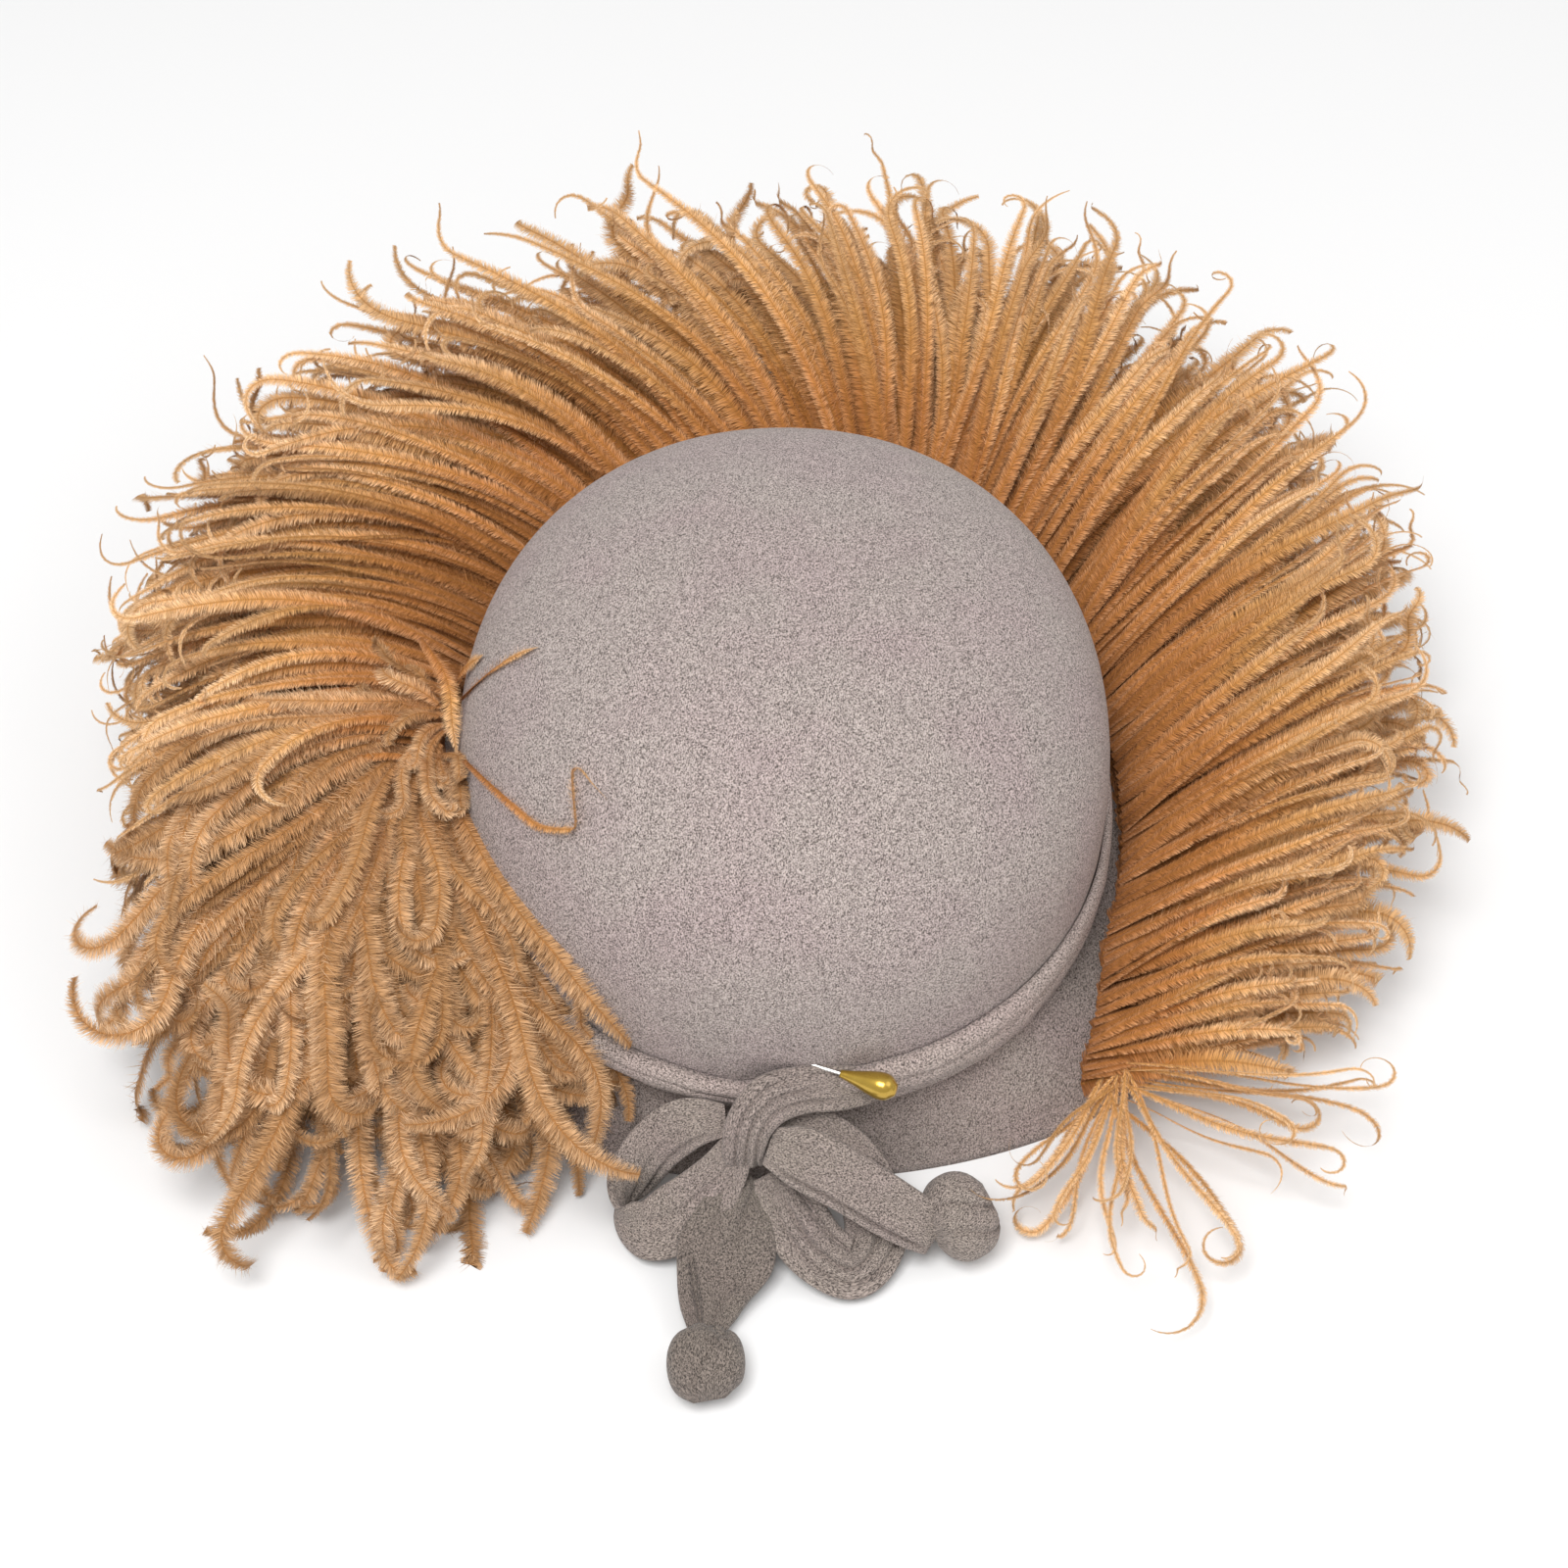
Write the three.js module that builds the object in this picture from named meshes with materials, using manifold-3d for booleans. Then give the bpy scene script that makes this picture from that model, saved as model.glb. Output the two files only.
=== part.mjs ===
import * as THREE from "three";
import Module from "manifold-3d";
import { mergeVertices } from "three/addons/utils/BufferGeometryUtils.js";

// A crepe hat with a knotted sash, a hatpin and two curled plumes, in mm, +Z up, bow towards -Y.
// Lengths start on the resting surface under the middle of the crown. The last lines move the hat
// so that its origin is under the middle of all of it. Angles are degrees, from +X towards +Y.

const WALL = 2;
const GAP = 0.3;
const FLOOR_CLEARANCE = 2;
const STEPS_ROUND = 52;

// Crown: a superellipse in plan, domed above its widest height and drawn in a little at the waist
const CROWN = { halfWidth: 89.6, halfDepth: 101.3, planPower: 2.1, widest: 61, dome: 70, domePower: 2.3 };
const WAIST = { height: 29, drawnIn: 0.032 };
const DOME_ANGLES = [0, 12, 24, 37, 50, 63, 77];
const SIDE_LEVELS = [45, WAIST.height];

// Brim: a bell from the waist to an oval rim, whose section leaves the waist towards the bend
const RIM = { halfWidth: 138, halfDepth: 108, shift: 6 };
const BEND = { reach: 0.45, height: 16 };
const BRIM_STEPS = 4;

// Sash: a folded roll round the waist over a flat layer that shows under it
const SASH_INSET = 0.4;
const FLAT_LAYER = 1.6;
const ROLL_ANGLES = [72, 42, 14, -14, -42, -72];
const SASH = table(["azimuth", "middle", "halfWidth", "thickness", "layerLow"], [
  [-180, 40.0, 7.0, 3.0, 31.5],
  [-146, 40.5, 5.5, 3.6, 30.5],
  [-125, 40.2, 5.0, 5.0, 30.0],
  [-108, 38.2, 4.8, 5.2, 30.5],
  [-97, 36.0, 4.6, 4.6, 30.0],
  [-87, 38.2, 6.6, 5.2, 30.0],
  [-75, 38.4, 8.0, 5.2, 29.6],
  [-55, 39.0, 9.0, 5.0, 29.4],
  [-35, 39.6, 9.0, 3.6, 29.6],
  [-10, 40.0, 7.6, 3.0, 31.5],
  [180, 40.0, 7.0, 3.0, 31.5],
]);

// Bow: flattened bias tubes, through centres, with the direction that their flat face looks in
const BOW_COLUMNS = ["x", "y", "z", "width", "thickness", "faceAzimuth", "faceHeight"];
const KNOT = table(BOW_COLUMNS, [
  [23.0, -101.3, 40.6, 10, 3.4, -76, 42],
  [14.0, -103.4, 42.4, 12, 4.6, -80, 45],
  [5.0, -105.4, 44.2, 12.5, 5.6, -85, 50],
  [-3.5, -108.2, 43.6, 13.5, 6.5, -95, 50],
  [-8.6, -112.4, 39.5, 12.5, 7.5, -95, 35],
  [-10.4, -115.0, 31.0, 11.5, 8.0, -90, 10],
  [-9.8, -113.4, 23.0, 12, 7.0, -90, -20],
]);
const LOOP_LEFT = table(BOW_COLUMNS, [
  [-15.0, -110.0, 37.5, 9, 4.0, 75, -50],
  [-25.5, -108.4, 33.2, 14, 4.0, 75, -48],
  [-34.5, -109.8, 24.5, 14.5, 4.0, 85, -40],
  [-40.6, -113.8, 14.4, 14, 4.0, 130, -25],
  [-42.6, -119.4, 9.2, 14, 4.2, 200, 0],
  [-36.0, -124.4, 10.2, 18, 4.2, 245, 35],
  [-27.0, -122.8, 16.4, 22, 4.2, 262, 45],
  [-18.0, -118.0, 25.0, 17, 4.2, 270, 45],
  [-12.0, -114.4, 32.0, 10, 4.2, 270, 45],
]);
const LOOP_RIGHT = table(BOW_COLUMNS, [
  [-4.0, -110.0, 34.5, 9, 4.2, -85, 60],
  [4.5, -109.4, 33.6, 12, 4.2, -85, 60],
  [14.0, -111.0, 27.0, 14, 4.2, -80, 55],
  [21.5, -117.0, 18.0, 16, 4.2, -75, 50],
  [24.0, -127.0, 10.0, 17, 4.2, -75, 50],
  [18.0, -135.4, 7.2, 16, 4.2, -90, 60],
  [9.0, -131.5, 9.6, 17, 4.2, -95, 55],
  [2.0, -124.6, 16.4, 17, 4.2, -95, 50],
  [-3.5, -117.0, 24.0, 11, 4.2, -90, 40],
]);
const TAIL_RIGHT = table(BOW_COLUMNS, [
  [-4.0, -116.5, 35.0, 11, 4.4, -90, 45],
  [5.0, -119.0, 33.0, 16, 5.0, -90, 50],
  [17.0, -122.5, 27.0, 16, 5.0, -88, 48],
  [29.0, -126.0, 19.6, 15.5, 5.0, -88, 45],
  [40.0, -128.5, 12.6, 13.5, 5.0, -86, 42],
]);
const TAIL_LEFT = table(BOW_COLUMNS, [
  [-9.0, -117.0, 22.5, 13, 4.8, -90, 30],
  [-12.2, -124.0, 17.5, 19, 4.8, -90, 38],
  [-15.0, -133.0, 11.5, 26, 4.8, -90, 52],
  [-18.4, -143.0, 7.2, 19, 4.8, -92, 66],
  [-20.2, -153.4, 5.4, 10.5, 4.8, -90, 76],
]);
const TAIL_KNOT_RIGHT = table(BOW_COLUMNS, [
  [38.6, -128.0, 13.0, 10, 8, -90, 45],
  [41.2, -126.4, 13.2, 20, 16, -90, 45],
  [46.0, -123.6, 13.8, 24, 19, -90, 45],
  [51.0, -120.6, 14.6, 20, 16, -90, 45],
  [54.0, -118.8, 15.0, 10, 8, -90, 45],
]);
const TAIL_KNOT_LEFT = table(BOW_COLUMNS, [
  [-19.6, -155.4, 6.4, 10, 7, -90, 70],
  [-19.6, -158.8, 7.8, 17, 12, -90, 70],
  [-19.8, -165.2, 9.0, 20, 15, -90, 70],
  [-19.4, -171.6, 8.2, 17, 12, -90, 70],
  [-18.8, -175.2, 7.2, 9, 6, -90, 70],
]);
const BOW_SIDES = 10;
const BOW_STEPS_PER_ROW = 2;

// Hatpin: a straight needle through the crown, with a teardrop on its thick end
const PIN = { entry: [4.6, -99.4, 48.2], point: [-60.5, -77.4, 52.2], radius: 0.45, hole: 0.9, sides: 8 };
const PIN_TAPER = 7;
const PIN_BEHIND_ENTRY = 16;
const TEARDROP = { start: 10.5, length: 15.4, bore: 0.75, boreDepth: 6.2, sides: 14 };
const TEARDROP_PROFILE = table(["along", "radius"], [
  [0, 1.1], [0.12, 1.35], [0.3, 2.1], [0.5, 3.05], [0.68, 3.65], [0.82, 3.6], [0.93, 2.6], [0.985, 1.2],
]);

// Plumes: a quill round the crown with locks of barbs. A lock leaves its root at a heading that
// leans from straight out, turns by the bend, and its slope runs from the rise to the fall. The
// locks of a fringe lie in two tiers, one lifted and one lowered by the tier's angle.
const QUILL = { radius: 1.8, sides: 6 };
const LOCK = { thickness: 8, sides: 4, steps: 4, rootShare: 0.08, shareAlong: 0.8, roundness: 0.75 };
const TIER_LIFT = 5;
const FRINGE_COLUMNS = ["azimuth", "height", "stand", "lean", "bend", "rise", "fall", "length"];
const FRINGE_RIGHT = { locks: 13, width: 34 };
FRINGE_RIGHT.rows = table(FRINGE_COLUMNS, [
  [-45, 35, 6.4, 34, 12, 22, -14, 76],
  [-25, 37, 5.9, 29, 12, 26, -12, 88],
  [0, 40, 5.7, 20, 12, 30, -10, 108],
  [25, 42, 5.7, 9, 8, 34, -8, 120],
  [45, 43, 5.7, 2, 4, 36, -4, 122],
  [62, 44, 5.7, 2, 8, 38, 4, 120],
]);
const FRINGE_LEFT = { locks: 15, width: 37 };
FRINGE_LEFT.rows = table(FRINGE_COLUMNS, [
  [66, 42, 5.7, 8, 20, 40, 8, 120],
  [75, 42, 5.7, 20, 32, 40, 6, 126],
  [95, 42, 5.7, 30, 44, 38, 0, 128],
  [115, 43, 5.7, 32, 46, 36, -6, 121],
  [135, 45, 5.7, 26, 42, 32, -12, 115],
  [155, 52, 3.0, 18, 34, 28, -20, 111],
  [172, 64, 3.4, 10, 30, 20, -32, 102],
  [184, 74, 5.0, 6, 26, 12, -42, 98],
]);

// Clusters: locks that fan out from one short stretch, by the heading of each
const CLUSTER_COLUMNS = ["heading", "rise", "fall", "bend", "length"];
const DROOP = { locks: 9, width: 30, from: [-98, -5, 76], to: [-98, -19, 67] };
DROOP.rows = table(CLUSTER_COLUMNS, [
  [192, 12, -42, 16, 95],
  [212, 8, -46, 12, 108],
  [228, 2, -50, 8, 122],
  [245, -4, -50, 6, 140],
  [260, -8, -48, 6, 156],
  [276, -12, -44, 8, 154],
  [294, -8, -42, 14, 104],
]);
const BASE = { locks: 6, width: 10, from: [88, -89, 23], to: [92, -82, 25] };
BASE.rows = table(CLUSTER_COLUMNS, [
  [-112, -6, -20, -6, 70],
  [-90, -8, -18, 0, 70],
  [-76, -6, -16, 4, 71],
  [-40, -2, -10, 6, 68],
  [-12, 6, -8, 8, 76],
  [4, 10, -8, 10, 80],
]);
const QUILL_END_RIGHT = [[79, -70.5, 34], [86, -80, 27], [91, -88, 22]];

const soft = (color) => ({ color, roughness: 0.95, metalness: 0 });
const COLOURS = { crown: 0xb7aca5, brim: 0x93897f, sash: 0x998a80, bow: 0x94877e, plume: 0xb9854f };
const STEEL = { color: 0xc9c9c6, roughness: 0.3, metalness: 1 };
const GOLD = { color: 0xc9ab45, roughness: 0.3, metalness: 0.2 };

const wasm = await Module();
wasm.setup();

function table(columns, rows) {
  return rows.map((row) => Object.fromEntries(columns.map((name, i) => [name, row[i]])));
}

// All the columns of a table at a value of its first one, between two rows
function lookUp(rows, value) {
  const [key] = Object.keys(rows[0]);
  const above = rows.findIndex((row) => row[key] >= value);
  const upper = above < 0 ? rows.length - 1 : Math.max(above, 1);
  const [from, to] = [rows[upper - 1], rows[upper]];
  const share = THREE.MathUtils.clamp((value - from[key]) / (to[key] - from[key]), 0, 1);
  const between = (name) => [name, THREE.MathUtils.lerp(from[name], to[name], share)];
  return Object.fromEntries(Object.keys(from).map(between));
}

function direction(azimuth, height) {
  const [turn, tilt] = [THREE.MathUtils.degToRad(azimuth), THREE.MathUtils.degToRad(height)];
  const level = Math.cos(tilt);
  return new THREE.Vector3(level * Math.cos(turn), level * Math.sin(turn), Math.sin(tilt));
}

function planPoint(azimuth, halfWidth, halfDepth, height) {
  const turn = THREE.MathUtils.degToRad(azimuth);
  const bulge = (value) => Math.sign(value) * Math.abs(value) ** (2 / CROWN.planPower);
  return new THREE.Vector3(halfWidth * bulge(Math.cos(turn)), halfDepth * bulge(Math.sin(turn)), height);
}

function around(place) {
  return Array.from({ length: STEPS_ROUND }, (_, step) => place(-180 + (step * 360) / STEPS_ROUND));
}

// A closed solid through rings of points, either joined end to end or closed by a point at each end
function skin(rings, { joined = false, tips = null } = {}) {
  const count = rings[0].length;
  const points = rings.flat();
  const faces = [];
  const bands = joined ? rings.length : rings.length - 1;
  for (let band = 0; band < bands; band++) {
    const [near, far] = [band * count, ((band + 1) % rings.length) * count];
    for (let i = 0; i < count; i++) {
      const next = (i + 1) % count;
      faces.push([near + i, near + next, far + next], [near + i, far + next, far + i]);
    }
  }
  if (!joined) {
    const last = (rings.length - 1) * count;
    const sumOf = (ring) => ring.reduce((sum, point) => sum.add(point), new THREE.Vector3());
    const [first, final] = tips ?? [rings[0], rings.at(-1)].map((ring) => sumOf(ring).divideScalar(count));
    points.push(first, final);
    for (let i = 0; i < count; i++) {
      const next = (i + 1) % count;
      faces.push([points.length - 2, next, i], [points.length - 1, last + i, last + next]);
    }
  }
  const volumeUnder = ([a, b, c]) => points[a].dot(points[b].clone().cross(points[c]));
  const volume = faces.reduce((sum, face) => sum + volumeUnder(face), 0);
  const outward = volume > 0 ? faces : faces.map(([a, b, c]) => [a, c, b]);
  const geometry = new THREE.BufferGeometry();
  geometry.setFromPoints(points);
  geometry.setIndex(outward.flat());
  return geometry;
}

function solid(geometry) {
  const bare = geometry.clone();
  bare.deleteAttribute("normal");
  bare.deleteAttribute("uv");
  const merged = mergeVertices(bare);
  const vertProperties = new Float32Array(merged.attributes.position.array);
  const triVerts = new Uint32Array(merged.index.array);
  return new wasm.Manifold(new wasm.Mesh({ numProp: 3, vertProperties, triVerts }));
}

function geometryOf(manifold) {
  const { vertProperties, triVerts } = manifold.getMesh();
  const geometry = new THREE.BufferGeometry();
  geometry.setAttribute("position", new THREE.BufferAttribute(vertProperties, 3));
  geometry.setIndex(new THREE.BufferAttribute(triVerts, 1));
  return geometry;
}

function fuse(geometries) {
  return geometryOf(geometries.map(solid).reduce((sum, next) => sum.add(next)));
}

// A geometry with others cut away, of which the largest remaining body is kept
function cut(geometry, cutters) {
  const left = cutters.map(solid).reduce((body, cutter) => body.subtract(cutter), solid(geometry));
  const bodies = left.decompose().sort((a, b) => b.volume() - a.volume());
  return geometryOf(bodies[0]);
}

// The crown's outer wall at a height, and points outside it
function crownScale(height) {
  if (height <= CROWN.widest) {
    return 1 - WAIST.drawnIn * ((CROWN.widest - height) / (CROWN.widest - WAIST.height)) ** 2;
  }
  return (1 - ((height - CROWN.widest) / CROWN.dome) ** CROWN.domePower) ** (1 / CROWN.domePower);
}

function besideCrown(azimuth, height, distance) {
  const scale = crownScale(height);
  return planPoint(azimuth, CROWN.halfWidth * scale + distance, CROWN.halfDepth * scale + distance, height);
}

function outwardAt(azimuth) {
  return besideCrown(azimuth, CROWN.widest, 1).sub(besideCrown(azimuth, CROWN.widest, 0)).normalize();
}

// Rings from the top of the crown down to its waist, inset from its outer wall, and the tip above them
function crownRings(inset) {
  const domeRing = (angle) => {
    const turn = THREE.MathUtils.degToRad(angle);
    const scale = Math.cos(turn) ** (2 / CROWN.domePower);
    const height = CROWN.widest + (CROWN.dome - inset) * Math.sin(turn) ** (2 / CROWN.domePower);
    const [halfWidth, halfDepth] = [CROWN.halfWidth - inset, CROWN.halfDepth - inset];
    return around((azimuth) => planPoint(azimuth, halfWidth * scale, halfDepth * scale, height));
  };
  const sideRing = (level) => around((azimuth) => besideCrown(azimuth, level, -inset));
  return [...DOME_ANGLES.toReversed().map(domeRing), ...SIDE_LEVELS.map(sideRing)];
}

function crownTip(inset) {
  return new THREE.Vector3(0, 0, CROWN.widest + CROWN.dome - inset);
}

// Crown: a shell open at the waist, and the same form grown and filled, to cut what lies against it
function crownGeometry() {
  const tips = [crownTip(0), crownTip(WALL)];
  return skin([...crownRings(0), ...crownRings(WALL).toReversed()], { tips });
}

function filledCrown() {
  return skin(crownRings(-GAP), { tips: [crownTip(-GAP), new THREE.Vector3(0, 0, WAIST.height)] });
}

// Brim: the section is a curve of three points, thickened across itself, with a flat face on the rim
function brimGeometry() {
  const top = WAIST.height - GAP;
  const section = (azimuth) => {
    const waist = besideCrown(azimuth, WAIST.height, 0).setZ(top);
    const rim = planPoint(azimuth, RIM.halfWidth, RIM.halfDepth, 0).add(new THREE.Vector3(0, RIM.shift, 0));
    const bend = waist.clone().lerp(rim, BEND.reach).setZ(BEND.height);
    const outward = outwardAt(azimuth);
    const curve = new THREE.QuadraticBezierCurve3(waist, bend, rim);
    const outer = curve.getPoints(BRIM_STEPS);
    const inner = outer.map((point, step) => {
      const along = curve.getTangent(step / BRIM_STEPS);
      const inset = outward.clone().multiplyScalar(along.z).setZ(-along.dot(outward)).normalize();
      return point.clone().addScaledVector(inset, WALL);
    });
    inner[0].copy(besideCrown(azimuth, WAIST.height, -WALL)).setZ(top);
    inner.at(-1).setZ(0);
    return [...outer, ...inner.toReversed()];
  };
  return skin(around(section), { joined: true });
}

// Sash: the roll's outer side follows an arc, and the flat layer is the last two points outside
function sashGeometry(grow = 0) {
  const section = (azimuth) => {
    const { middle, halfWidth, thickness, layerLow } = lookUp(SASH, azimuth);
    const inner = SASH_INSET - grow;
    const place = (height, distance) => besideCrown(azimuth, height, distance);
    const roll = ROLL_ANGLES.map((angle) => {
      const turn = THREE.MathUtils.degToRad(angle);
      const height = middle + (halfWidth + grow) * Math.sin(turn);
      return place(height, SASH_INSET + thickness * Math.cos(turn) ** 0.6 + grow);
    });
    return [
      place(layerLow - grow, inner),
      place(middle, inner),
      place(middle + halfWidth + grow, inner),
      ...roll,
      place(middle - halfWidth - grow, SASH_INSET + FLAT_LAYER + grow),
      place(layerLow - grow, SASH_INSET + FLAT_LAYER + grow),
    ];
  };
  return skin(around(section), { joined: true });
}

// A flattened tube along a table's rows, with its wide direction across the way that it faces
function ribbon(rows, grow = 0) {
  const centres = rows.map(({ x, y, z }) => new THREE.Vector3(x, y, z));
  const curve = new THREE.CatmullRomCurve3(centres, false, "centripetal");
  const steps = (rows.length - 1) * BOW_STEPS_PER_ROW;
  const numbered = rows.map((row, index) => ({ index, ...row }));
  const rings = Array.from({ length: steps + 1 }, (_, step) => {
    const row = lookUp(numbered, step / BOW_STEPS_PER_ROW);
    const along = curve.getTangent(step / steps);
    const wide = along.clone().cross(direction(row.faceAzimuth, row.faceHeight)).normalize();
    const thick = wide.clone().cross(along);
    return Array.from({ length: BOW_SIDES }, (_, side) => {
      const turn = (side * 2 * Math.PI) / BOW_SIDES;
      return curve.getPoint(step / steps)
        .addScaledVector(wide, (row.width / 2 + grow) * Math.cos(turn))
        .addScaledVector(thick, (row.thickness / 2 + grow) * Math.sin(turn));
    });
  });
  if (grow > 0) {
    rings[0].forEach((point) => point.addScaledVector(curve.getTangent(0), -grow));
    rings.at(-1).forEach((point) => point.addScaledVector(curve.getTangent(1), grow));
  }
  return skin(rings);
}

// Turned parts of the hatpin, made along +Y from its thick end
function needleGeometry() {
  const length = PIN_BEHIND_ENTRY + pinReach();
  const profile = [[0, 0], [PIN.radius, 0], [PIN.radius, length - PIN_TAPER], [0, length]];
  return new THREE.LatheGeometry(profile.map(([x, y]) => new THREE.Vector2(x, y)), PIN.sides);
}

function teardropGeometry() {
  const { length, bore, boreDepth, sides } = TEARDROP;
  const outside = TEARDROP_PROFILE.map(({ along, radius }) => [radius, along * length]);
  const profile = [[0, boreDepth], [bore, boreDepth], [bore, 0], ...outside, [0, length]];
  return new THREE.LatheGeometry(profile.map(([x, y]) => new THREE.Vector2(x, y)), sides);
}

function pinReach() {
  return new THREE.Vector3(...PIN.entry).distanceTo(new THREE.Vector3(...PIN.point));
}

// The turn that brings +Y along the pin, from its entry to its point
function pinTurn() {
  const along = new THREE.Vector3(...PIN.point).sub(new THREE.Vector3(...PIN.entry)).normalize();
  return new THREE.Quaternion().setFromUnitVectors(new THREE.Vector3(0, 1, 0), along);
}

function pinGroup() {
  const group = new THREE.Group();
  group.position.set(...PIN.entry);
  group.quaternion.copy(pinTurn());
  const needle = mesh("hat_pin", needleGeometry(), STEEL);
  needle.position.y = -PIN_BEHIND_ENTRY;
  const teardrop = mesh("pin_pearl", teardropGeometry(), GOLD);
  teardrop.rotation.z = Math.PI;
  teardrop.position.y = -TEARDROP.start;
  group.add(needle, teardrop);
  return group;
}

// The needle's way through the crown, as a straight bar of the hole's width
function pinHole() {
  const bar = new THREE.CylinderGeometry(PIN.hole, PIN.hole, 2 * pinReach(), PIN.sides);
  return bar.applyQuaternion(pinTurn()).translate(...PIN.entry);
}

// The way of a barb or lock: equal short steps whose heading and slope change evenly
function barbPoints(root, { heading, rise, fall, bend, length }, steps, lowest) {
  const points = [root.clone()];
  for (let step = 0; step < steps; step++) {
    const share = (step + 0.5) / steps;
    const stride = direction(heading + bend * share, rise + (fall - rise) * share);
    const next = points.at(-1).clone().addScaledVector(stride, length / steps);
    points.push(next.setZ(Math.max(next.z, lowest)));
  }
  return points;
}

// A lock: a flat leaf along a barb, widest past its middle and narrow at its root and tip
function lockGeometry(root, row, width, grow) {
  const lowest = FLOOR_CLEARANCE + LOCK.thickness / 2;
  const points = barbPoints(root, row, LOCK.steps * 4, lowest);
  const rings = Array.from({ length: LOCK.steps + 1 }, (_, ring) => {
    const share = ring / LOCK.steps;
    const index = ring * 4;
    const before = points[Math.max(index - 1, 0)];
    const after = points[Math.min(index + 1, points.length - 1)];
    const along = after.clone().sub(before).normalize();
    const wide = along.clone().cross(new THREE.Vector3(0, 0, 1)).normalize();
    const thick = wide.clone().cross(along);
    const swell = Math.sin(Math.PI * (LOCK.rootShare + share * LOCK.shareAlong)) ** LOCK.roundness;
    const halfWidth = (width / 2) * swell + grow;
    const halfThickness = (LOCK.thickness / 2) * swell + grow;
    return Array.from({ length: LOCK.sides }, (_, side) => {
      const turn = (side * 2 * Math.PI) / LOCK.sides;
      return points[index].clone()
        .addScaledVector(wide, halfWidth * Math.cos(turn))
        .addScaledVector(thick, halfThickness * Math.sin(turn));
    });
  });
  return skin(rings);
}

function rootOnCrown({ azimuth, height, stand }) {
  return besideCrown(azimuth, height, stand);
}

// The heading square to the crown's outline
function headingOutward(azimuth) {
  const outward = outwardAt(azimuth);
  return THREE.MathUtils.radToDeg(Math.atan2(outward.y * CROWN.halfWidth, outward.x * CROWN.halfDepth));
}

function fringeLocks({ locks, width, rows }, grow = 0) {
  return Array.from({ length: locks }, (_, index) => {
    const azimuth = THREE.MathUtils.lerp(rows[0].azimuth, rows.at(-1).azimuth, index / (locks - 1));
    const row = lookUp(rows, azimuth);
    const heading = headingOutward(azimuth) + row.lean;
    const lift = index % 2 === 0 ? -TIER_LIFT : TIER_LIFT;
    const way = { ...row, heading, rise: row.rise + lift, fall: row.fall + lift };
    return lockGeometry(rootOnCrown(row), way, width, grow);
  });
}

function clusterLocks({ locks, width, from, to, rows }) {
  return Array.from({ length: locks }, (_, index) => {
    const share = index / (locks - 1);
    const root = new THREE.Vector3(...from).lerp(new THREE.Vector3(...to), share);
    const heading = THREE.MathUtils.lerp(rows[0].heading, rows.at(-1).heading, share);
    return lockGeometry(root, lookUp(rows, heading), width, 0);
  });
}

function quillGeometry(points) {
  const curve = new THREE.CatmullRomCurve3(points, false, "centripetal");
  const section = new THREE.Shape();
  section.absarc(0, 0, QUILL.radius, 0, 2 * Math.PI);
  const steps = points.length * 2;
  const options = { extrudePath: curve, steps, curveSegments: QUILL.sides / 2, bevelEnabled: false };
  return new THREE.ExtrudeGeometry(section, options);
}

function mesh(name, geometry, finish) {
  const piece = new THREE.Mesh(geometry, new THREE.MeshStandardMaterial(finish));
  piece.name = name;
  return piece;
}

function hatBody() {
  return [
    mesh("crown", cut(crownGeometry(), [pinHole()]), soft(COLOURS.crown)),
    mesh("brim", brimGeometry(), soft(COLOURS.brim)),
    mesh("sash", sashGeometry(), soft(COLOURS.sash)),
  ];
}

// Bow: each piece gives way to the ones before it
function bow() {
  const [sash, knot] = [sashGeometry(GAP), ribbon(KNOT, GAP)];
  const rowsOf = [
    ["bow_knot", KNOT, [sash, filledCrown(), pinHole()]],
    ["bow_loop_left", LOOP_LEFT, [sash, knot]],
    ["bow_loop_right", LOOP_RIGHT, [sash, knot]],
    ["bow_tail_left", TAIL_LEFT, [knot, ribbon(LOOP_LEFT, GAP), ribbon(LOOP_RIGHT, GAP)]],
    ["bow_tail_right", TAIL_RIGHT, [knot, ribbon(LOOP_RIGHT, GAP)]],
    ["tail_knot_left", TAIL_KNOT_LEFT, [ribbon(TAIL_LEFT, GAP)]],
    ["tail_knot_right", TAIL_KNOT_RIGHT, [ribbon(TAIL_RIGHT, GAP)]],
  ];
  return rowsOf.map(([name, rows, cutters]) => mesh(name, cut(ribbon(rows), cutters), soft(COLOURS.bow)));
}

function plumes() {
  const ends = QUILL_END_RIGHT.map((point) => new THREE.Vector3(...point));
  const quillRight = [...ends.toReversed(), ...FRINGE_RIGHT.rows.map(rootOnCrown)];
  const stretch = [DROOP.from, DROOP.to].map((point) => new THREE.Vector3(...point));
  const quillLeft = [...FRINGE_LEFT.rows.map(rootOnCrown), ...stretch];
  const right = [quillGeometry(quillRight), ...fringeLocks(FRINGE_RIGHT), ...clusterLocks(BASE)];
  const left = [quillGeometry(quillLeft), ...fringeLocks(FRINGE_LEFT), ...clusterLocks(DROOP)];
  const inside = [filledCrown(), sashGeometry(GAP)];
  const beside = fringeLocks(FRINGE_RIGHT, GAP);
  return [
    mesh("plume_right", cut(fuse(right), inside), soft(COLOURS.plume)),
    mesh("plume_left", cut(fuse(left), [...inside, ...beside]), soft(COLOURS.plume)),
  ];
}

const pieces = new THREE.Group();
pieces.add(...hatBody(), ...bow(), pinGroup(), ...plumes());

const hat = new THREE.Group();
hat.add(pieces);
const bounds = new THREE.Box3().setFromObject(pieces);
const middle = bounds.getCenter(new THREE.Vector3());
pieces.position.set(-middle.x, -middle.y, -bounds.min.z);

export default hat;
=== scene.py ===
import math

import bpy
import numpy as np
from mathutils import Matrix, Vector, noise


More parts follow.
